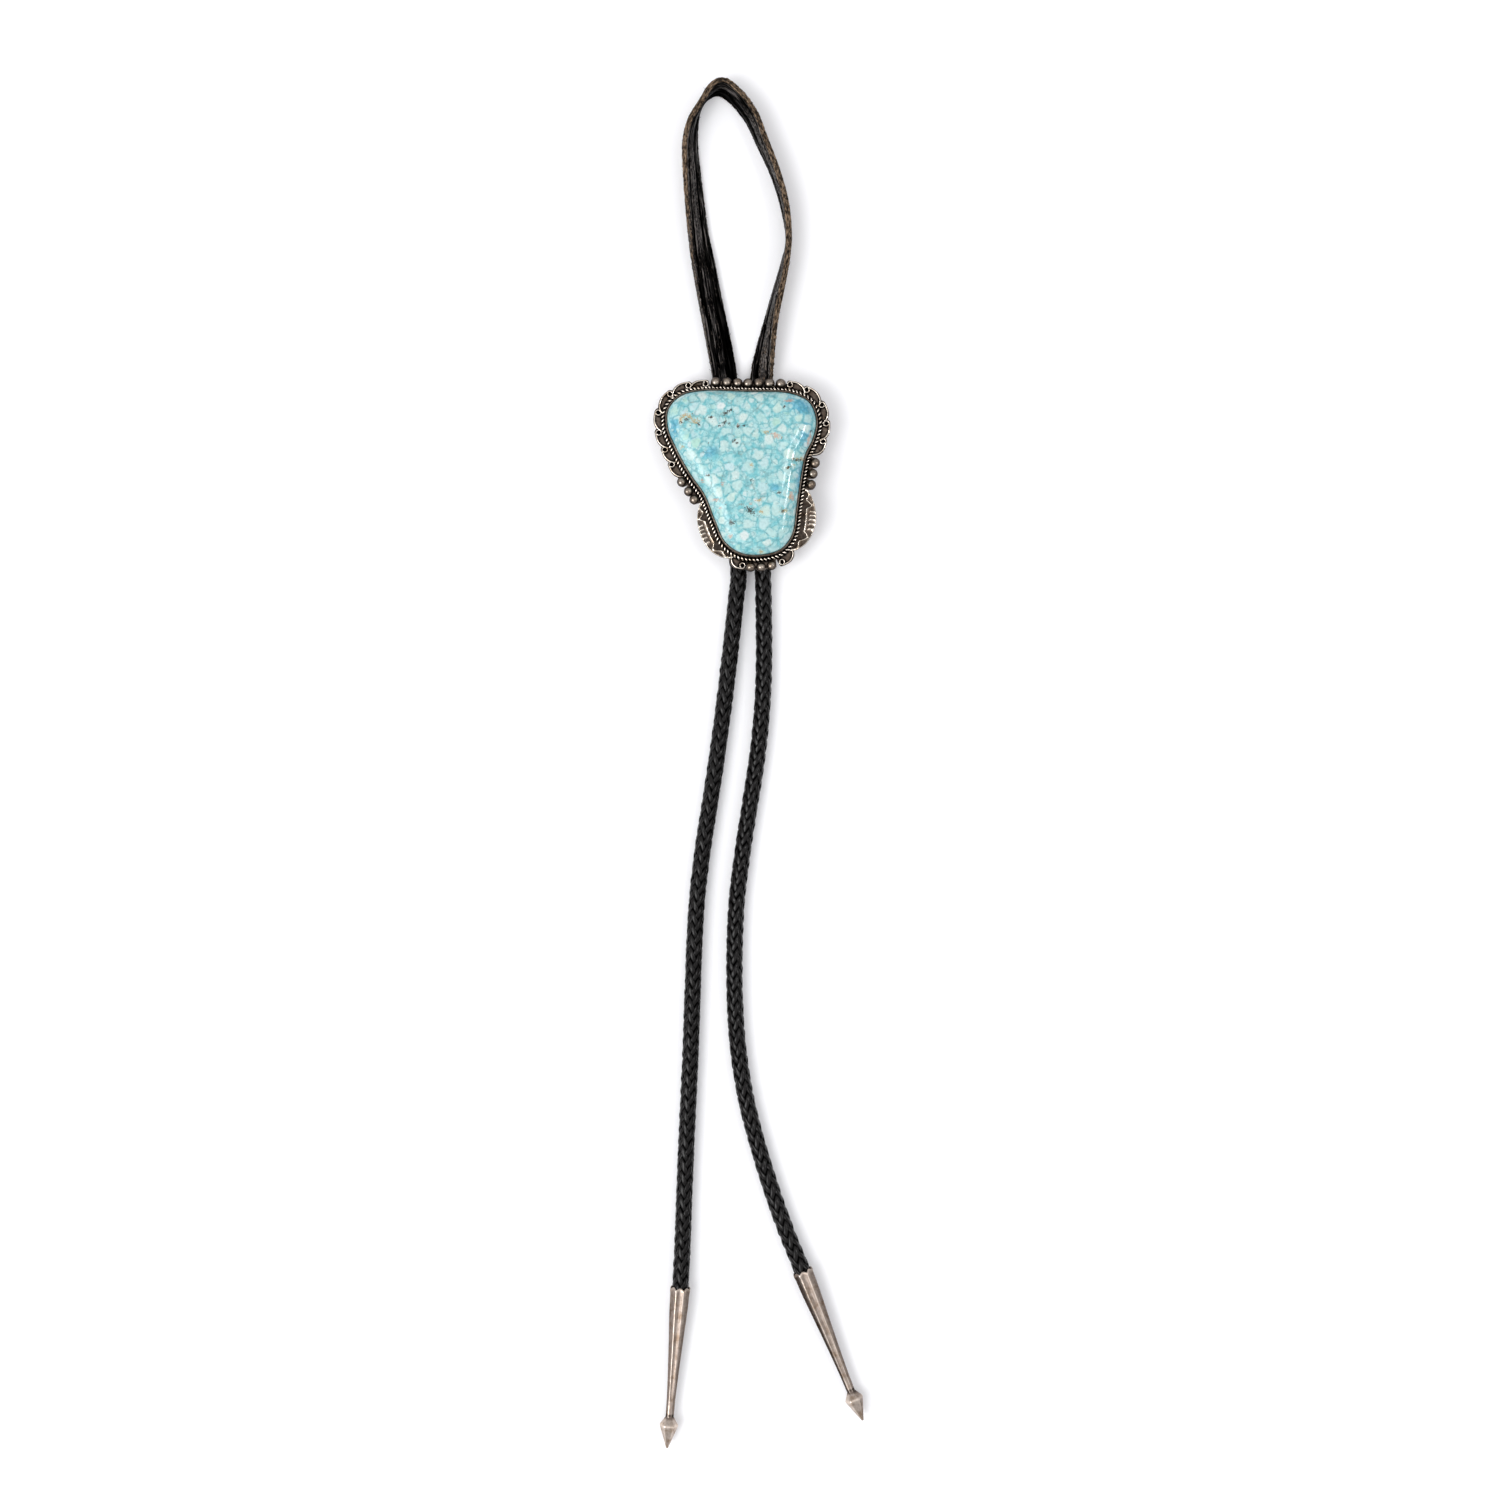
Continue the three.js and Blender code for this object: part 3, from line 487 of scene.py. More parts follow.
class Nodes:
    """A node tree, with short calls to add to it."""

    def __init__(self, tree):
        self.tree = tree

    def node(self, kind, inputs=None, **settings):
        made = self.tree.nodes.new("ShaderNode" + kind)
        for key, value in settings.items():
            setattr(made, key, value)
        for key, value in (inputs or {}).items():
            self.feed(made.inputs[key], value)
        return made

    def feed(self, socket, value):
        if isinstance(value, bpy.types.NodeSocket):
            self.tree.links.new(value, socket)
        else:
            socket.default_value = value

    def math(self, operation, first, second=0.0, third=0.0):
        made = self.node("Math", {0: first, 1: second, 2: third}, operation=operation)
        return made.outputs[0]

    def plus(self, first, second):
        return self.math("ADD", first, second)

    def times(self, first, second):
        return self.math("MULTIPLY", first, second)


class Finish(Nodes):
    """A material's nodes, with short calls for the kinds used here."""

    def __init__(self, name, **fixed):
        self.material = bpy.data.materials.new(name)
        self.material.use_nodes = True
        super().__init__(self.material.node_tree)
        self.surface = self.tree.nodes["Principled BSDF"]
        self.place = self.node("TexCoord").outputs["Object"]
        self.show(**fixed)

    def value(self, name):
        return self.node("Attribute", attribute_name=name).outputs["Fac"]

    def noise(self, size, detail=3.0, place=None, output="Fac"):
        """Noise with features of that size in millimetres."""
        inputs = {"Vector": place or self.place, "Scale": 1 / (size * MM), "Detail": detail}
        return self.node("TexNoise", inputs).outputs[output]

    def about(self, value, swing, centre=0.0):
        """A noise value moved to swing about a centre."""
        return self.math("MULTIPLY_ADD", value, 2 * swing, centre - swing)

    def span(self, value, from_low, from_high, to_low=0.0, to_high=1.0):
        """A value taken smoothly from one range to another, and held at its ends."""
        inputs = {"Value": value, "From Min": from_low, "From Max": from_high}
        inputs.update({"To Min": to_low, "To Max": to_high})
        return self.node("MapRange", inputs, interpolation_type="SMOOTHSTEP").outputs["Result"]

    def mix(self, factor, first, second, blend="MIX"):
        """Two colours mixed; the numbers are the node's sockets for colours."""
        inputs = {0: factor, 6: first, 7: second}
        return self.node("Mix", inputs, data_type="RGBA", blend_type=blend).outputs[2]

    def ramp(self, value, stops):
        made = self.node("ValToRGB", {"Fac": value})
        band = made.color_ramp
        while len(band.elements) < len(stops):
            band.elements.new(0.5)
        for element, (position, colour) in zip(band.elements, stops):
            element.position = position
            element.color = colour
        return made.outputs["Color"]

    def bump(self, height, distance, strength=1.0, below=None):
        inputs = {"Height": height, "Distance": distance * MM, "Strength": strength}
        if below:
            inputs["Normal"] = below
        return self.node("Bump", inputs).outputs["Normal"]

    def vector(self, operation, first, second):
        return self.node("VectorMath", {0: first, 1: second}, operation=operation).outputs[0]

    def stretched(self, x, y, z):
        """Places stretched along the axes, for streaks."""
        return self.vector("MULTIPLY", self.place, (x, y, z))

    def lengthwise(self, stretch):
        """Places along and across a piece, by the attribute lie, drawn out along it."""
        lie = self.node("Attribute", attribute_name="lie").outputs["Vector"]
        return self.vector("MULTIPLY", lie, (stretch, 1.0, 1.0))

    def show(self, **sockets):
        for socket, value in sockets.items():
            self.feed(self.surface.inputs[socket.replace("_", " ")], value)
        return self.material


def warped(f, size, reach):
    """Places pushed about by noise of that size, up to that reach in millimetres."""
    push = f.vector("SUBTRACT", f.noise(size, 3.0, output="Color"), (0.5,) * 3)
    return f.vector("ADD", f.place, f.vector("MULTIPLY", push, (2 * reach * MM,) * 3))


def pebbles(f, place, size, shades, absence):
    """Rounded cells of that size: their colour, how solid each point is and how near it is to a seam."""
    inputs = {"Vector": place, "Scale": 1 / (size * MM), "Randomness": 0.8}
    edge = f.node("TexVoronoi", inputs, feature="DISTANCE_TO_EDGE").outputs["Distance"]
    cell = f.node("TexVoronoi", inputs)
    chance = f.node("SeparateColor", {"Color": cell.outputs["Color"]})
    wanted = f.plus(chance.outputs["Green"], f.about(f.noise(6.0), 0.9))
    wanted = f.span(f.math("SUBTRACT", wanted, absence), -0.05, 0.4)
    rounded = f.span(cell.outputs["Distance"], 0.34, 0.58, 1.0, 0.0)
    solid = f.times(f.times(f.span(edge, 0.01, 0.18), rounded), wanted)
    seam = f.times(f.span(edge, 0.0, 0.1, 1.0, 0.0), f.span(f.noise(2.5), 0.3, 0.5))
    return f.ramp(chance.outputs["Red"], shades), solid, seam


def turquoise():
    """Pale pebbles in a bluer ground, with flecks of matrix where the attribute marks asks for them."""
    f = Finish("turquoise", IOR=1.55, Roughness=0.1, Specular_IOR_Level=0.35)
    marks = f.node("Attribute", attribute_name="marks")
    fields = f.node("SeparateColor", {"Color": marks.outputs["Color"]})
    blue = marks.outputs["Alpha"]
    place = warped(f, 3.0, 0.8)
    shades = ((0.0, tone(203, 221, 217)), (0.35, tone(170, 209, 207)), (0.6, tone(189, 216, 219)),
              (0.8, tone(172, 212, 199)), (1.0, tone(216, 224, 223)))
    large, large_solid, large_seam = pebbles(f, place, 3.9, shades, f.times(blue, 0.9))
    small, small_solid, small_seam = pebbles(f, place, 2.1, shades, f.times(blue, 0.3))
    ground = f.mix(f.span(f.noise(2.0, 5), 0.38, 0.62), tone(122, 193, 199), tone(170, 213, 213))
    deep = f.mix(f.span(f.noise(1.2, 4), 0.38, 0.62), tone(62, 148, 182), tone(112, 186, 208))
    ground = f.mix(f.span(blue, 0.2, 1.0, 0.0, 0.85), ground, deep)
    seams = f.mix(f.span(f.noise(2.8, 4), 0.56, 0.68), tone(82, 150, 160), tone(122, 116, 102))
    colour = f.mix(f.times(small_solid, 0.7), ground, small)
    colour = f.mix(f.times(small_seam, 0.42), colour, seams)
    colour = f.mix(large_solid, colour, large)
    colour = f.mix(f.times(large_seam, 0.48), colour, seams)
    cloud = f.mix(f.span(f.noise(0.9, 5), 0.36, 0.62), tone(236, 241, 242), tone(255, 255, 255))
    colour = f.mix(1.0, colour, cloud, "MULTIPLY")
    flecks = f.plus(f.about(f.noise(0.7, 3), 0.8), f.about(f.noise(0.35, 3), 0.8))
    # Gold, rose and dark, each in its channel of the attribute
    kinds = (("Red", tone(178, 152, 100), 0.5, 0.8), ("Blue", tone(206, 140, 108), 0.5, 0.6),
             ("Green", tone(60, 50, 42), 0.42, 0.9))
    for field, tint, start, strength in kinds:
        reach = f.plus(fields.outputs[field], flecks)
        colour = f.mix(f.span(reach, start, start + 0.35, 0.0, strength), colour, tint)
    grain = f.plus(f.times(large_seam, -0.4), f.noise(1.2, 4))
    return f.show(Base_Color=colour, Normal=f.bump(grain, 0.006, 0.3))


def silver(name, dark, middle, bright, smooth_share, rough_share, drawn=False):
    """Metal that is dark at a value of 0 and bright at 1, from oxide and rubbing with painted shade and
    highlight; drawn metal has lengthwise lines.
    """
    f = Finish(name, Metallic=1.0)
    scratches = f.noise(0.3, 4, f.lengthwise(0.06) if drawn else f.stretched(1.0, 0.12, 1.0))
    patches = f.plus(f.about(f.noise(0.9, 5), 0.16), f.about(scratches, 0.3 if drawn else 0.05))
    level = f.plus(f.value("wear_and_shading"), patches)
    colour = f.ramp(level, ((0.05, dark), (0.45, middle), (0.95, bright)))
    tarnish = f.mix(f.span(f.noise(2.6, 4), 0.45, 0.75), colour, tone(208, 194, 178), "MULTIPLY")
    grit = f.noise(0.18, 4)
    rough = f.plus(f.span(level, 0.0, 1.0, rough_share, smooth_share), f.about(grit, 0.12))
    height = f.plus(grit, scratches)
    return f.show(Base_Color=tarnish, Roughness=rough, Normal=f.bump(height, 0.02, 0.6))


def braid_leather():
    """Black waxed lace, with painted shade: its value is 0 in the creases and 1 on the crowns."""
    f = Finish("braid_leather", IOR=1.45)
    pores = f.noise(0.2, 4)
    crown = f.plus(f.value("wear_and_shading"), f.about(f.noise(1.3, 4), 0.4))
    colour = f.ramp(crown, ((0.2, tone(0, 0, 0)), (0.65, tone(5, 4, 4)), (1.0, tone(14, 11, 10))))
    rough = f.plus(f.span(crown, 0.2, 1.0, 0.65, 0.2), f.about(pores, 0.1))
    wrinkles = f.plus(pores, f.times(f.noise(0.7, 3), 1.5))
    gloss = f.span(crown, 0.25, 1.05, 0.01, 0.3)
    normal = f.bump(wrinkles, 0.05, 0.5)
    return f.show(Base_Color=colour, Roughness=rough, Specular_IOR_Level=gloss, Normal=normal)


def strap_leather():
    """Black streaked grain where the value is 0, grey nap at 0.3, tan flesh at 1, and painted shade in black
    below 0.
    """
    f = Finish("strap_leather", IOR=1.45)
    streaks = f.noise(0.6, 5, f.lengthwise(0.06))
    fuzz = f.noise(0.28, 4, f.lengthwise(0.25))
    nap = f.math("MULTIPLY_ADD", fuzz, 0.55, f.times(f.noise(0.9, 4, f.lengthwise(0.5)), 0.45))
    wear_and_shading = f.value("wear_and_shading")
    spots = f.about(f.noise(0.7, 5), 0.45)
    patches = f.about(f.noise(2.4, 3, f.lengthwise(0.5)), 0.5)
    level = f.plus(wear_and_shading, f.plus(spots, patches))
    black = f.ramp(streaks, ((0.46, tone(0, 0, 0)), (0.56, tone(12, 10, 10)), (0.66, tone(104, 98, 95))))
    black = f.mix(f.span(fuzz, 0.6, 0.74, 0.0, 0.7), black, tone(134, 122, 113))
    grey = f.ramp(fuzz, ((0.4, tone(3, 3, 3)), (0.5, tone(34, 32, 31)), (0.64, tone(128, 122, 118))))
    black = f.mix(f.span(wear_and_shading, 0.0, 0.28), black, grey)
    # Below 0 the value is painted shade: the creases, the lower half of the face and the inside of the loop's
    # top go black
    black = f.mix(f.span(wear_and_shading, -0.6, -0.05, 0.94, 0.0), black, tone(0, 0, 0))
    raw = f.ramp(nap, ((0.38, tone(8, 7, 6)), (0.48, tone(50, 42, 35)), (0.6, tone(152, 129, 106))))
    colour = f.mix(f.span(level, 0.35, 0.75), black, raw)
    rough = f.plus(f.span(level, 0.3, 0.8, 0.4, 0.95), f.about(streaks, 0.12))
    height = f.plus(f.times(streaks, 1.5), f.plus(nap, fuzz))
    gloss = f.times(f.span(streaks, 0.46, 0.66, 0.0, 0.34), f.span(wear_and_shading, -0.6, 0.0, 0.1, 1.0))
    normal = f.bump(height, 0.12, 0.8)
    return f.show(Base_Color=colour, Roughness=rough, Specular_IOR_Level=gloss, Normal=normal)


def clip_metal():
    f = Finish("clip_metal", Metallic=1.0)
    brushed = f.noise(0.2, 3, f.stretched(1.0, 0.06, 1.0))
    colour = f.mix(f.noise(3.0, 4), tone(120, 112, 104), tone(176, 168, 160))
    rough = f.about(brushed, 0.2, 0.42)
    return f.show(Base_Color=colour, Roughness=rough, Normal=f.bump(brushed, 0.02, 0.5))


# Turquoise slide

def mark_fields(points):
    """How strongly each kind of mark lies at plan points, from 0 to 1."""
    fields = np.zeros((len(points), len(STONE_MARKS)))
    for field, rows in zip(fields.T, STONE_MARKS.values()):
        for x, y, half_width, half_height, lean in rows:
            turn = math.radians(lean)
            gap = points - (x, y)
            along = gap[:, 0] * math.cos(turn) + gap[:, 1] * math.sin(turn)
            across = gap[:, 1] * math.cos(turn) - gap[:, 0] * math.sin(turn)
            near = np.exp(-0.55 * ((along / half_width) ** 2 + (across / half_height) ** 2))
            np.maximum(field, near, out=field)
    return fields


def stone(material):
    """The cabochon, a little uneven as cut by hand, with the dark matrix slightly sunk."""
    rows = evenly(spline(STONE_DOME, 16), STONE_RINGS)[:-1]
    shares = np.arange(STONE_STEPS) / STONE_STEPS
    middle = beside(shares, -STONE_DOME[-1][0]).mean(0)
    rings = beside(shares[None, :], -rows[:, :1])
    rings += (middle - rings) * (rows[:, 1] / STONE_REACH)[:, None, None]
    plan = rings.reshape(-1, 2)
    fields = mark_fields(plan)
    height = np.repeat(STONE_BASE + rows[:, 2], len(shares))
    upper = smooth(3.5, 7.0, np.repeat(rows[:, 2], len(shares)))
    dark = fields[:, list(STONE_MARKS).index("dark")]
    height += upper * STONE_UNEVEN * ripple(plan, 13.0, 3) - upper * MARK_DEPTH * dark
    height -= upper * STONE_FALL * smooth(STONE_FALL_FROM, STONE_FALL_TO, plan[:, 1])
    skin = Skin()
    skin.add_body(raised(plan, height).reshape(len(rows), len(shares), 3))
    made = piece("turquoise_cabochon", skin, material, "turquoise", "turquoise_stone")
    marks = made.data.attributes.new("marks", "FLOAT_COLOR", "POINT")
    fields = np.vstack([fields, np.zeros((2, len(STONE_MARKS)))])
    marks.data.foreach_set("color", fields.astype(np.float32).ravel())


def scroll_path(place, step, offset):
    """Plan line of a scroll's wire: along its bow from the tail, over the curl and round it."""
    middle = beside(place, offset)
    outward = unit(beside(place, offset + 1) - middle)
    tailward = np.sign(step) * np.array([-outward[1], outward[0]])
    bow = [beside(place + along * step, offset + out) for along, out in SCROLL_BOW]
    degrees, radius = np.transpose(SCROLL_CURL)
    curl = middle + radius[:, None] * swung(np.radians(degrees), tailward, outward)
    return spline(np.vstack([bow, curl]), 6)


def scroll_places():
    """Place, step and offset of each scroll."""
    for first, step, count, near, far in SCROLL_ROWS:
        for i in range(count):
            yield first + i * step, step, near + (far - near) * i / max(count - 1, 1)


def scroll_paths():
    return [scroll_path(*place) for place in scroll_places()]


def curl_gap(points):
    """Distance from plan points to the middle of the nearest curl."""
    curls = [beside(place, offset) for place, _, offset in scroll_places()]
    return np.min([np.linalg.norm(points - curl, axis=-1) for curl in curls], axis=0)


def wire_gap(points):
    """Distance from plan points to the nearest scroll wire."""
    gaps = [np.linalg.norm(points[..., None, :] - path[::3], axis=-1).min(-1) for path in scroll_paths()]
    return np.min(gaps, axis=0)


def drop_centres():
    centres = []
    for first, last, offset, count in DROP_ROWS:
        centres.extend(beside(np.linspace(first, last, count), offset))
    return np.array(centres)


def crescent_edge(t, widest):
    """Offset of a crescent's rim at shares of its length."""
    swell = np.maximum(np.sin(math.pi * t), 0) ** CRESCENT_FULLNESS
    return PLATE_OFFSET + (widest - PLATE_OFFSET) * swell


def disc(centre, radius):
    """Points round a plan circle."""
    turn = circle(48)[:, None]
    return centre + radius * np.hstack([np.cos(turn), np.sin(turn)])


def plate_reach():
    """How far the back plate reaches past the stone, all the way round, to carry what lies on it."""
    lines = [(path, SCROLL_WIRE + PLATE_MARGIN) for path in scroll_paths()]
    lines += [(disc(centre, DROP_FOOT * DROP_RADIUS), 0.0) for centre in drop_centres()]
    reach = np.full(PLATE_STEPS, PLATE_OFFSET)
    for points, margin in lines:
        share, offset = outline_place(evenly(points, 220))
        step = np.rint(share * PLATE_STEPS).astype(int)
        for shift in range(-2, 3):
            np.maximum.at(reach, (step + shift) % PLATE_STEPS, offset + margin)
    places = np.arange(PLATE_STEPS) / PLATE_STEPS
    for first, last, widest in CRESCENTS:
        t = np.clip((places - first) / (last - first), 0, 1)
        reach = np.maximum(reach, crescent_edge(t, widest))
    return (np.roll(reach, 1) + reach + np.roll(reach, -1)) / 3


def back_plate(skin):
    """The sheet that everything is soldered to: its edge filed round, a hole in each curl painted black as
    shade.
    """
    reach = plate_reach()[:, None]
    edge = np.array(PLATE_EDGE)
    across = np.linspace(1, 0, 26)
    top = PLATE_SEAM + (reach + edge[-1, 0] - PLATE_SEAM) * across
    inner = np.full_like(reach, -1.0)
    offsets = np.hstack([inner, reach + edge[:, 0], top[:, 1:], inner])
    heights = np.concatenate([[0.0], edge[:, 1], np.ones(len(across))])
    plan = beside(np.arange(PLATE_STEPS)[:, None] / PLATE_STEPS, offsets)
    upper = np.arange(offsets.shape[1]) >= len(edge)
    hole = upper * smooth(CURL_HOLE + 0.06, CURL_HOLE - 0.1, curl_gap(plan))
    level = PLATE_BOTTOM + heights - HOLE_DEPTH * hole
    # Painted shade with oxide: the top is darker near the wires and the rope, lighter in the open
    less_oxide_and_shade = smooth(0.3, 1.1, wire_gap(plan)) * smooth(2.2, 3.0, offsets)
    shaded = 0.02 + 0.32 * less_oxide_and_shade + 0.05 * ripple(plan, 1.6, 8) - 0.9 * hole
    values = np.where(upper, shaded, 0.5)
    skin.add_body(raised(plan, level).swapaxes(0, 1), values.T)


def bezel(skin):
    """The thin wall that holds the stone, pressed over its edge a little unevenly."""
    steps = 720
    shares = np.arange(steps)[:, None] / steps
    section = np.array(BEZEL_SECTION)
    plan = beside(shares, section[:, 0])
    worked = 0.08 * ripple(plan, 4.0, 5) * smooth(2.5, 3.5, section[:, 1])
    level = PLATE_TOP + section[:, 1] + worked
    values = 0.2 + 0.25 * smooth(3.0, 3.6, np.broadcast_to(section[:, 1], level.shape))
    skin.add(raised(plan, level), [grid(steps, len(section), True, True)], values)


def rope(skin):
    """Two wires twisted together round the bezel."""
    turns = round(OUTLINE_LENGTH * ROPE_RUN / ROPE_PITCH)
    steps, sides = turns * 18, 10
    shares = np.arange(steps) / steps
    core = beside(shares, ROPE_OFFSET)
    outward = raised(unit(beside(shares, ROPE_OFFSET + 1) - core), 0.0)
    core = raised(core, PLATE_TOP + ROPE_LEVEL)
    for start in (0, math.pi):
        path = core + ROPE_HELIX * swung(start - TAU * turns * shares, outward, UP)
        rim = rims(unit(np.roll(path, -1, 0) - np.roll(path, 1, 0)), sides)
        points = path[:, None] + ROPE_STRAND * rim
        proud = np.linalg.norm(points - core[:, None], axis=-1) / (ROPE_HELIX + ROPE_STRAND)
        above = smooth(-0.4, 0.6, points[..., 2] - PLATE_TOP)
        # Painted highlight on the crests of the wires, painted shade in the creases between them and on their
        # undersides
        values = 1.85 * smooth(0.87, 1.0, proud) * (0.1 + 0.9 * above) - 0.6
        skin.add(points, [grid(steps, sides, True, True)], values)


def drops(skin):
    """Raindrops: melted balls, each a little different, sunk in solder at the foot."""
    rng = np.random.default_rng(DROP_SEED)
    polar = np.radians(np.linspace(4, 122, 20))[:, None]
    turn = circle(32)
    for x, y in drop_centres():
        radius = DROP_RADIUS * rng.uniform(0.97, 1.05)
        lean = rng.uniform(-0.05, 0.05, 2)
        flat = radius * np.sin(polar) * (1 + 0.02 * np.cos(2 * turn + rng.uniform(0, TAU)))
        level = radius * np.cos(polar) * rng.uniform(0.94, 1.02) + 0 * turn
        across = x + flat * np.cos(turn) + lean[0] * level
        along = y + flat * np.sin(turn) + lean[1] * level
        points = np.stack([across, along, PLATE_TOP + DROP_RADIUS / 2 + level], -1)
        # Painted shade: each ball darkens from its top down its sides towards its foot
        skin.add_body(points, 0.54 - 0.62 * smooth(0.55, 1.5, polar))


def crescent_relief(t, w, width, offset):
    """Height and value over a crescent: a rounded rim, a waving ridge, short bars behind it, a sunk field."""
    middle = np.abs(t - 0.5)
    wave = 0.5 - 0.5 * np.cos(TAU * 2 * (middle - 0.16) / 0.34)
    ridge_at = 0.36 + 0.38 * wave * smooth(0.15, 0.22, middle)
    ridge = np.exp(-((w - ridge_at) * width / 0.38) ** 2)
    rim = np.exp(-((1 - w) * width / 0.5) ** 2)
    behind = smooth(0.0, 0.25, (w - ridge_at) * width)
    from_bars = [(t - 0.5 - place) * CRESCENT_LENGTH / BAR_HALF_WIDTH for place in CRESCENT_BARS]
    bars = sum(np.exp(-(gap**2)) for gap in from_bars)
    bars = bars * smooth(0.5, 0.62, w) * (1 - smooth(0.9, 0.97, w))
    height = 0.12 + 0.25 * w + 0.42 * ridge + 0.4 * rim + 0.3 * bars
    height += 0.03 * ripple(np.stack([20 * t + 0 * w, offset], -1), 1.3, 9)
    drop_off = smooth(0.0, 0.18, (1 - w) * width)
    # Rubbing and painted highlight brighten the rim, ridge and bars; oxide and painted shade darken the sunk
    # field
    wear_and_shading = 0.18 + 0.72 * np.clip(ridge + 0.9 * rim * drop_off + 0.8 * bars, 0, 1) + 0.12 * behind
    return height * (0.25 + 0.75 * drop_off), wear_and_shading


def crescent(skin, first, last, widest):
    """A stamped crescent, with t along it and w from the rope out to its rim."""
    rows, columns = 320, 54
    t = np.linspace(0.005, 0.995, rows)[:, None]
    w = np.linspace(0, 1, columns)[None, :]
    width = crescent_edge(t, widest) - CRESCENT_INNER
    offset = CRESCENT_INNER + width * w
    height, wear_and_shading = crescent_relief(t, w, width, offset)
    plan = beside(first + (last - first) * t, offset)
    rings = np.hstack([raised(plan, PLATE_TOP + height), raised(plan[:, [-1, 0]], PLATE_TOP - 0.3)])
    skin.add_body(rings, np.hstack([wear_and_shading, np.full((rows, 2), 0.4)]))


def scrolls(skin):
    for path in scroll_paths():
        radius = np.interp(np.linspace(0, 1, len(path)), *np.transpose(SCROLL_TAPER))
        # Painted shade on the wires' undersides and painted highlight on their tops
        wire(skin, raised(path, PLATE_TOP + SCROLL_LEVEL), radius, low=-0.9, high=0.92)


def crescents(skin):
    for row in CRESCENTS:
        crescent(skin, *row)


def setting(material):
    parts = {"back_plate": back_plate, "bezel": bezel, "twisted_rope": rope, "raindrops": drops,
             "scrolls": scrolls, "crescents": crescents}
    for name, make in parts.items():
        skin = Skin()
        make(skin)
        piece("setting_" + name, skin, material, "antique_silver", "silver_setting")


# Neck strap

def strap_frames(steps):
    """Along the strap: middle of the section, axis across, axis of the face, and width."""
    table = np.array(STRAP_LINE, float)
    plan = spline(table[:, :2], steps)
    lean, width, lift = spline(table[:, 2:], steps, power=0).T
    ahead = unit(np.gradient(plan, axis=0))
    outward = np.column_stack([-ahead[:, 1], ahead[:, 0], np.zeros(len(plan))])
    angle = np.radians(lean)[:, None]
    upright, flat = np.cos(angle), np.sin(angle)
    across = upright * UP + flat * outward
    face = flat * UP - upright * outward
    lying = np.abs(flat[:, 0]) * (STRAP_THICKNESS / 2 + STRAP_BOW)
    rest = upright[:, 0] * width / 2 + lying + np.maximum(lift, 0)
    return raised(plan, rest), across, face, width


def strap_section():
    """Section of the strap once round: share of the half width, depth, and rawness of edge and back."""
    face = evenly(spline(STRAP_FACE, 8), 46)
    edge = np.array(STRAP_EDGE)
    share = np.linspace(0.9, -0.9, 14)
    back = np.column_stack([share, STRAP_THICKNESS + STRAP_BOW * (1 - share**2)])
    sides = (face, edge, back, edge[::-1] * (-1, 1))
    raw = [np.full(len(side), value) for side, value in zip(sides, (0.0, 1.0, STRAP_BACK_RAW, 1.0))]
    return np.column_stack([np.vstack(sides), np.concatenate(raw)])


def strap_fibres(skin, middle, across, face, width, rawness):
    """Loose fibres along the two cut edges, more of them where the edges are rough."""
    rng = np.random.default_rng(FIBRE_SEED)
    for _ in range(FIBRE_TRIES):
        i = rng.integers(2, len(middle) - 2)
        if rng.uniform(0, 1.1) > rawness[i]:
            continue
        side = rng.choice((-1, 1))
        root = middle[i] + across[i] * side * width[i] * 0.49 + face[i] * rng.uniform(-0.95, 0.95)
        root += (middle[i + 1] - middle[i]) * rng.uniform(0, 1)
        heading = across[i] * side + 0.9 * rng.normal(size=3)
        sway = 0.5 * rng.normal(size=3)
        t = np.linspace(0, 1, 4)[:, None]
        reach = rng.uniform(0.1, 0.35) * (LONG_FIBRE_REACH if rng.uniform() < LONG_FIBRES else 1)
        path = root + reach * (unit(heading) * t + sway * t**2)
        path[:, 2] = np.maximum(path[:, 2], 0.08)
        wire(skin, path, rng.uniform(0.06, 0.14) * np.linspace(1, 0.3, 4), sides=3, low=-0.4, high=0.1)


def strap_lie(run, section):
    """Where each point lies along, across and through the strap."""
    columns = (run[:, None], section[:, 0] * STRAP_HALF_WIDTH, section[:, 1] * STRAP_THICKNESS)
    return np.stack(np.broadcast_arrays(*columns), -1)


def strap_rings(frames, section, lie, edge_raw):
    """Rings of points along the strap, with its creases, folds and rough edges."""
    middle, across, face, width = frames
    at_edge, on_face = section[:, 2] == 1, section[:, 2] == 0
    rough = 0.035 * ripple(lie, 3.0, 31) + at_edge * edge_raw * 0.16 * ripple(lie, 1.1, 32, 14)
    folds = on_face * 0.06 * ripple(lie * (0.6, 1, 1), 2.2, 33)
    folds -= on_face * section[:, 1] * 0.35 * ripple(lie * (1, 0.3, 0), 40.0, 34)
    half = section[:, 0] * width[:, None] / 2 + np.sign(section[:, 0]) * rough * at_edge
    depth = STRAP_THICKNESS / 2 - section[:, 1] + (rough + folds) * ~at_edge
    rings = middle[:, None] + half[..., None] * across[:, None] + depth[..., None] * face[:, None]
    rings[..., 2] = np.maximum(rings[..., 2], 0.02)
    return rings


def strap_wear_and_shade(section, edge_raw, face_raw_and_shade, shade):
    """Tan at the cut edges and the back, and painted shade that blackens the creases and the lower half of
    the face.
    """
    raw = section[:, 2]
    crease_shade = (raw == 0) * smooth(0.12, 0.4, section[:, 1])
    shaded = shade * smooth(-0.1, -0.5, section[:, 0])
    return np.where(raw == 0, face_raw_and_shade - crease_shade - shaded, raw * edge_raw)


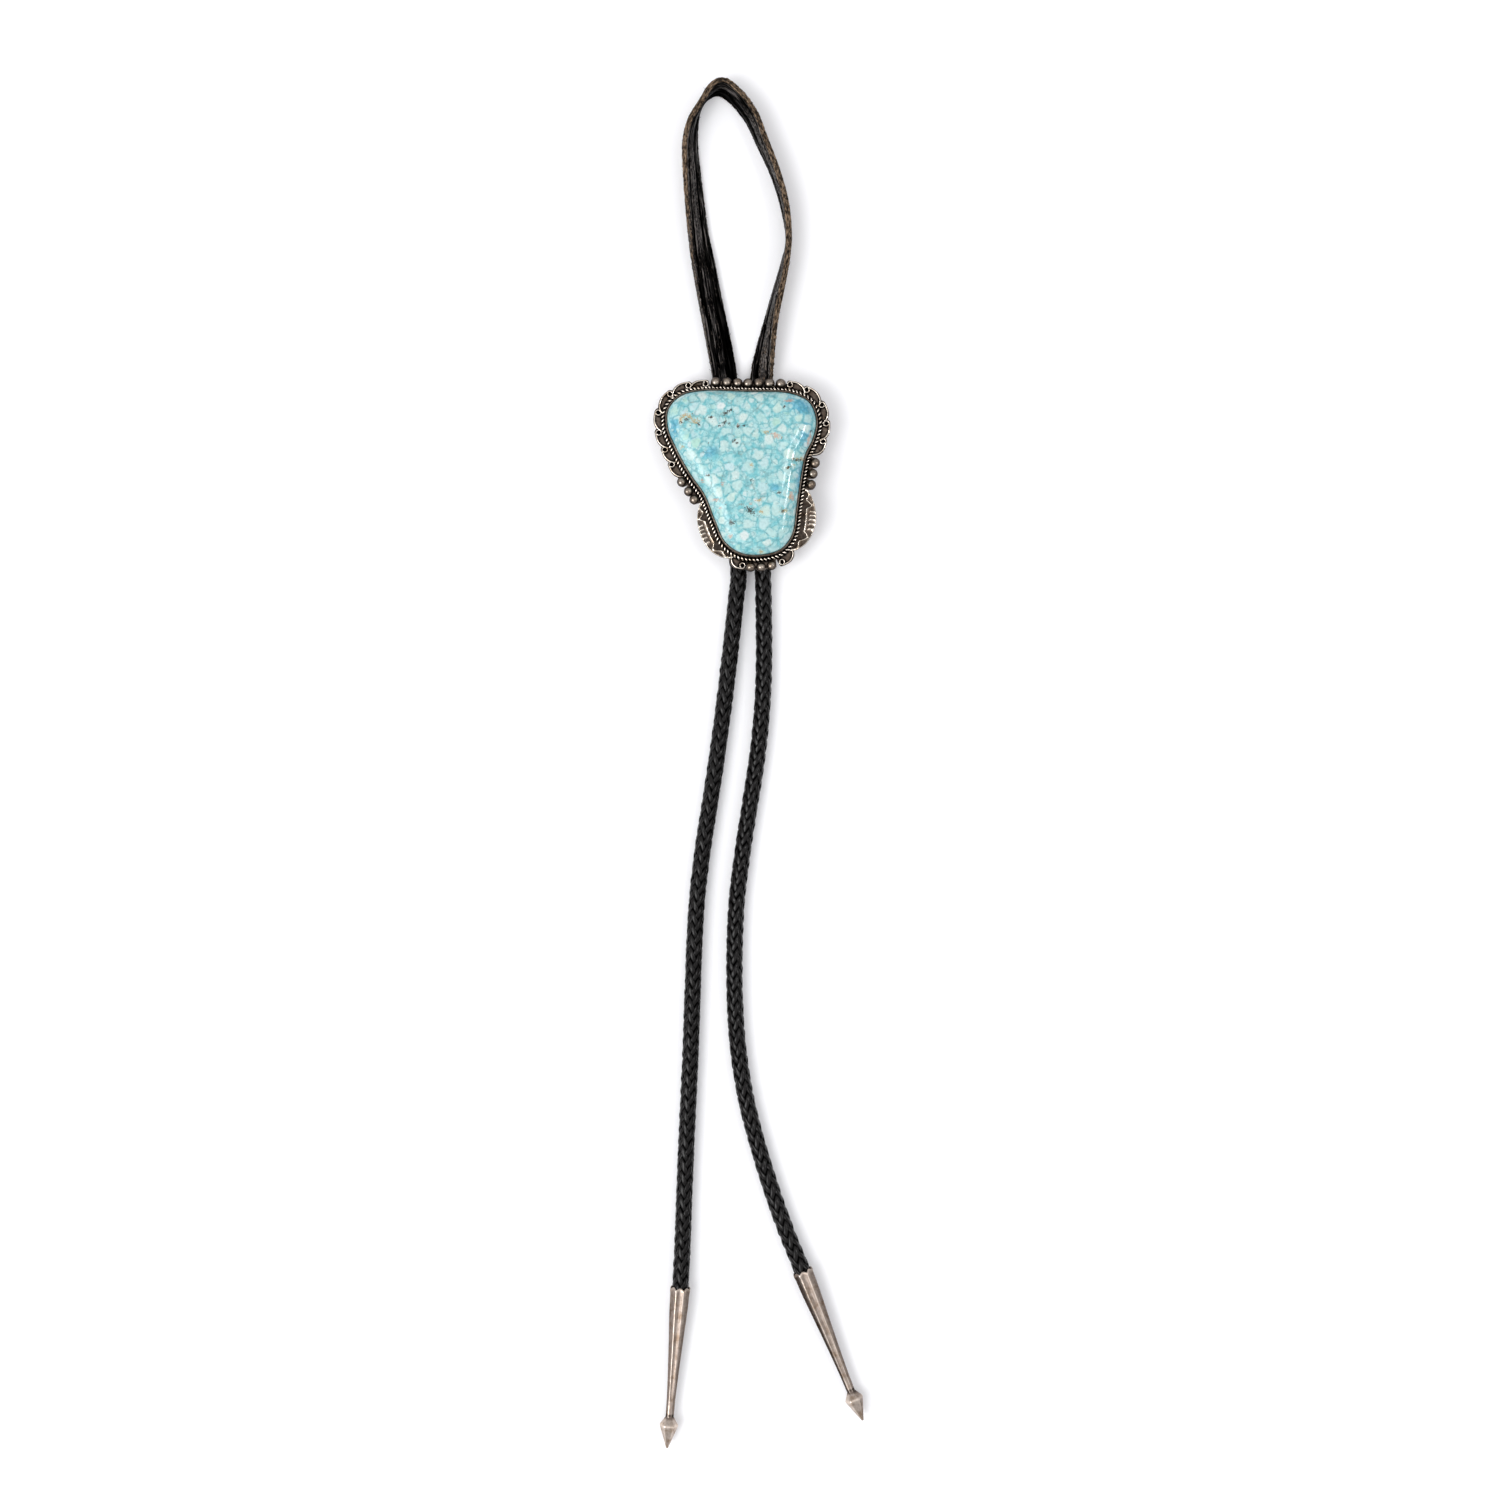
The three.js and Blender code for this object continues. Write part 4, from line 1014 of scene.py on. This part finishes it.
def strap(material):
    frames = strap_frames(STRAP_STEPS)
    section = strap_section()
    run = run_of(frames[0])
    table = np.array(STRAP_RAW_AND_SHADE)
    edge_raw, face_raw_and_shade, shade = pick(run / run[-1], table[:, 0], table[:, 1:]).T[:, :, None]
    lie = strap_lie(run, section)
    skin = Skin()
    skin.add_body(strap_rings(frames, section, lie, edge_raw), strap_wear_and_shade(section, edge_raw, face_raw_and_shade, shade))
    made = piece("strap", skin, material, "strap_leather", "neck_strap")
    lay(made, np.vstack([lie.reshape(-1, 3), lie[0, :1], lie[-1, :1]]))
    fibres = Skin()
    strap_fibres(fibres, *frames, edge_raw[:, 0])
    made = piece("strap_fibres", fibres, material, "strap_leather", "neck_strap")
    lay(made, np.vstack(fibres.points))


# Braided tails and their tips

def tip_frame(tip):
    """Mouth and heading of a tip, whose shoulder lies on the table as its mouth does."""
    x, y, to_x, to_y = tip
    along, radius = FINIAL_SHOULDER
    drop = (MOUTH_RADIUS - radius) * math.hypot(to_x - x, to_y - y) / along
    return np.array([x, y, MOUTH_RADIUS]), unit(np.array([to_x - x, to_y - y, -drop]))


class Tail:
    """A tail's middle line, as a place to wind strands round it."""

    def __init__(self, table, tip):
        mouth, heading = tip_frame(tip)
        knots = np.vstack([table, mouth, mouth + heading * TAIL_SOCKET])
        self.line = evenly(spline(knots, 24), TAIL_POINTS)
        self.run = run_of(self.line)
        self.length = self.run[-1]
        self.across, self.upward = sideways(unit(np.gradient(self.line, axis=0)))

    def around(self, place, angle, radius):
        """Points that far along the tail, at an angle and radius about its middle."""
        squeeze = np.clip(1 - (self.length - place) / TAIL_SOCKET, 0, 1)
        radius = radius * (1 + (TAIL_END_SHARE - 1) * squeeze)
        out = swung(angle, pick(place, self.run, self.across), pick(place, self.run, self.upward))
        return pick(place, self.run, self.line) + radius[..., None] * out


def strand(skin, tail, lay_length, start, hand, phase, seed):
    """One flat lace of the braid, over two and under two of those that wind the other way."""
    steps = round(tail.length / lay_length * 2 * BRAID_STRANDS * 4)
    place = np.linspace(0, tail.length, steps)[:, None]
    angle = hand * TAU * place / lay_length + start
    loose = place + 100 * seed
    swing = np.cos(BRAID_TWO_OVER * angle + phase)
    swing = swing * (1.5 - 0.5 * swing**2)
    rise = BRAID_RADIUS + hand * BRAID_WEAVE * swing + 0.05 * ripple(loose, 4.0, seed)[:, None]
    wide = STRAND_WIDTH / 2 * (1 + 0.05 * ripple(loose, 6.0, seed + 1)[:, None])
    wander = 0.02 * ripple(loose, 9.0, seed + 2)[:, None]
    tilt = 0.1 * ripple(loose, 5.0, seed + 3)[:, None]
    slope = math.atan(TAU * BRAID_RADIUS / lay_length)
    section = np.array(STRAND_SECTION)
    across, through = wide * section[:, 0], STRAND_THICKNESS / 2 * section[:, 1]
    radius = rise + through + tilt * across - STRAND_CROWN * across**2
    at = np.clip(place - hand * across * math.sin(slope), 0, tail.length)
    points = tail.around(at, angle + wander + across * math.cos(slope) / BRAID_RADIUS, radius)
    points[..., 2] = np.maximum(points[..., 2], 0.0)
    # Painted shade: the value falls towards 0 where a strand dips under the others and at its edges
    proud = smooth(BRAID_RADIUS, BRAID_RADIUS + 0.5, rise + through)
    skin.add_body(points, proud * smooth(1.0, 0.8, np.abs(section[:, 0])))


def tail_core(skin, tail):
    """The dark middle that closes the gaps between the strands, painted black like the shaded creases."""
    place = np.linspace(0.2, tail.length - 0.2, 160)[:, None]
    place, angle = np.broadcast_arrays(place, circle(14))
    skin.add_body(tail.around(place, angle, np.full(place.shape, BRAID_RADIUS - 0.3)))


def braid(material, side, table, tip, lay_length, degrees, seed):
    tail = Tail(table, tip)
    phase = math.radians(degrees)
    skin = Skin()
    for k in range(BRAID_STRANDS):
        start = (k + 0.25) * TAU / BRAID_STRANDS - phase / BRAID_TWO_OVER
        strand(skin, tail, lay_length, start, 1, phase, seed + 10 * k)
        strand(skin, tail, lay_length, start, -1, phase, seed + 10 * k + 5)
    tail_core(skin, tail)
    piece(side + "_tail", skin, material, "braid_leather", side + "_braid")


def tip_body(skin, place, side_shade):
    """The fluted cone with its scalloped mouth and its socket, with painted shade along its left."""
    turn = circle(TIP_FLUTES * 16)
    hollow = np.abs(np.cos(TIP_FLUTES / 2 * turn))
    profile = evenly(spline(CONE, 20), 76)
    along, radius = profile[:, :1], profile[:, 1:]
    scallop = MOUTH_SCALLOP * hollow * smooth(7.0, 0.0, along)
    depth = FLUTE_DEPTH * smooth(FLUTES_END, FLUTES_FADE, along)
    lip = 1 + 0.05 * np.exp(-((along - 0.4) / 0.6) ** 2)
    outer = place(along - scallop, turn, radius * lip * (1.01 - depth * hollow))
    bore_along = np.array([SOCKET_DEPTH, 0.4, 0.0])[:, None]
    bore_radius = np.array([SOCKET_RADIUS - 0.35, SOCKET_RADIUS, SOCKET_RADIUS + 0.05])[:, None]
    bore_radius = bore_radius * (1 - FLUTE_DEPTH * hollow)
    bore = place(bore_along - scallop[0] * np.array([0, 0.9, 1])[:, None], turn, bore_radius)
    # Painted light and shade: flutes facing up are lighter, ridges on the upper half get painted highlights,
    # the left gets painted shade, and the socket is painted dark as shade
    above = np.sin(turn)
    ridge = smooth(0.28, 0.0, hollow) * smooth(0.2, 0.8, above)
    values = 0.2 + 0.23 * smooth(0.1, 1.0, above) + 0.8 * ridge + 0 * along
    values -= side_shade * smooth(0.3, 0.75, np.cos(turn))
    values += 0.35 * smooth(1.4, 0.2, along) - 0.7 * np.exp(-((along - 44.4) / 0.35) ** 2)
    skin.add_body(np.concatenate([bore, outer]), np.vstack([np.full(bore.shape[:2], 0.1), values]))


def tip_finial(skin, place, side_shade):
    """The six-sided spear, lying on one of its sides, with its edges and shoulder worn round."""
    turn = circle(72)
    flat = np.cos(math.pi / 6) / np.cos(turn % (math.pi / 3) - math.pi / 6)
    profile = evenly(np.array(FINIAL), 80)
    kernel = np.hanning(11)[1:-1] / np.hanning(11).sum()
    radius = np.convolve(np.pad(profile[:, 1], 4, mode="edge"), kernel, "valid")[:, None]
    edge = smooth(0.93, 0.97, flat) * smooth(46.5, 48.0, profile[:, :1])
    points = place(profile[:, :1], turn, radius * np.minimum(flat, 0.97))
    shoulder = np.exp(-((profile[:, :1] - FINIAL_SHOULDER[0]) / 0.6) ** 2)
    neck = smooth(46.0, 45.0, profile[:, :1])
    # Painted shade darkens the spear's right side
    values = 0.62 + 0.2 * edge + 0.2 * shoulder - 0.4 * neck - side_shade * smooth(0.3, 0.75, -np.cos(turn))
    skin.add_body(points, values)


def tip(material, side, table, side_shade):
    mouth, heading = tip_frame(table)
    across, upward = sideways(heading)

    def place(along, turn, radius):
        along, turn, radius = np.broadcast_arrays(along, turn, radius)
        out = radius[..., None] * swung(turn, across, upward)
        return mouth + along[..., None] * heading + out

    for name, make, sharp in (("cone", tip_body, None), ("finial", tip_finial, 22)):
        skin = Skin()
        make(skin, place, side_shade)
        made = piece(side + "_tip_" + name, skin, material, "tip_silver", side + "_tip", sharp=sharp)
        lay(made, (np.vstack(skin.points) - mouth) @ np.column_stack([heading, across, upward]))


# Table, light and camera

def floor():
    mesh = bpy.data.meshes.new("table_top")
    mesh.from_pydata([(-3, -3, 0), (3, -3, 0), (3, 3, 0), (-3, 3, 0)], [], [(0, 1, 2, 3)])
    # The glow is painted light that lightens the shadows on the table
    f = Finish("table_paint", Roughness=0.7, Emission_Strength=TABLE_GLOW)
    paint = f.mix(f.noise(60.0, 3), tone(242, 242, 244), tone(246, 246, 247))
    f.show(Base_Color=paint, Emission_Color=paint)
    mesh.materials.append(f.material)
    made = placed("table_top", mesh)


def soften(light):
    """Fades a lamp from its middle to its rim, as a softbox does."""
    light.use_nodes = True
    nodes = Nodes(light.node_tree)
    place = nodes.node("NewGeometry").outputs["Parametric"]
    centred = {"Vector": place, "Location": (-1.0, -1.0, 0.0), "Scale": (2.0, 2.0, 0.0)}
    centred = nodes.node("Mapping", centred).outputs["Vector"]
    fade = nodes.node("TexGradient", {"Vector": centred}, gradient_type="SPHERICAL").outputs["Fac"]
    strength = nodes.tree.nodes["Emission"].inputs["Strength"]
    nodes.feed(strength, nodes.times(fade, SOFTBOX_GAIN))


def lamp(name, position, target, width, length, power):
    light = bpy.data.lights.new(name, "AREA")
    light.shape = "RECTANGLE"
    light.size = width
    light.size_y = length
    light.energy = power
    made = placed(name, light)
    place = np.array(position)
    ahead = unit(np.array(target) - place)
    across, along = sideways(ahead, (0.0, 1.0, 0.0))
    for row in range(3):
        for column, axis in enumerate((across, along, -ahead, place)):
            made.matrix_world[row][column] = axis[row]
    return light


def sky():
    """A room that is brighter overhead than at the horizon, and brighter on the left."""
    world = bpy.data.worlds.new("studio")
    world.use_nodes = True
    nodes = Nodes(world.node_tree)
    heading = nodes.node("TexCoord").outputs["Generated"]
    heading = nodes.node("SeparateXYZ", {0: heading}).outputs
    shares = []
    for axis, start, low, high in (("Z", 0.0, SKY_LOW, SKY_HIGH), ("X", -1.0, SKY_LEFT, SKY_RIGHT)):
        inputs = {"Value": heading[axis], "From Min": start, "To Min": low, "To Max": high}
        shares.append(nodes.node("MapRange", inputs).outputs["Result"])
    background = nodes.tree.nodes["Background"].inputs
    background["Color"].default_value = SKY_TINT
    nodes.feed(background["Strength"], nodes.times(*shares))
    return world


def studio():
    bpy.context.scene.world = sky()
    bpy.context.scene.view_settings.view_transform = "Standard"
    soften(lamp(*SOFTBOX))
    for row in WINDOWS:
        lamp(*row)


def camera():
    data = bpy.data.cameras.new("camera")
    data.angle = 2 * math.atan(VIEW_WIDTH / 2 / CAMERA_HEIGHT)
    made = placed("camera", data)
    made.location = (CAMERA_X * MM, CAMERA_Y * MM, CAMERA_HEIGHT * MM)
    bpy.context.scene.camera = made


def main():
    camera()
    studio()
    floor()
    stone(turquoise())
    old_silver = (tone(10, 8, 7), tone(112, 100, 90), tone(255, 244, 229))
    setting(silver("antique_silver", *old_silver, 0.12, 0.45))
    strap(strap_leather())
    leather = braid_leather()
    for side, row in BRAIDS.items():
        braid(leather, side, *row)
    light_silver = (tone(66, 56, 50), tone(158, 144, 134), tone(226, 212, 199))
    bright = silver("tip_silver", *light_silver, 0.3, 0.48, drawn=True)
    for side, row in TIPS.items():
        tip(bright, side, *row)
    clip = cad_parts["slide_clip"]
    clip.data.materials.clear()
    clip.data.materials.append(clip_metal())


main()
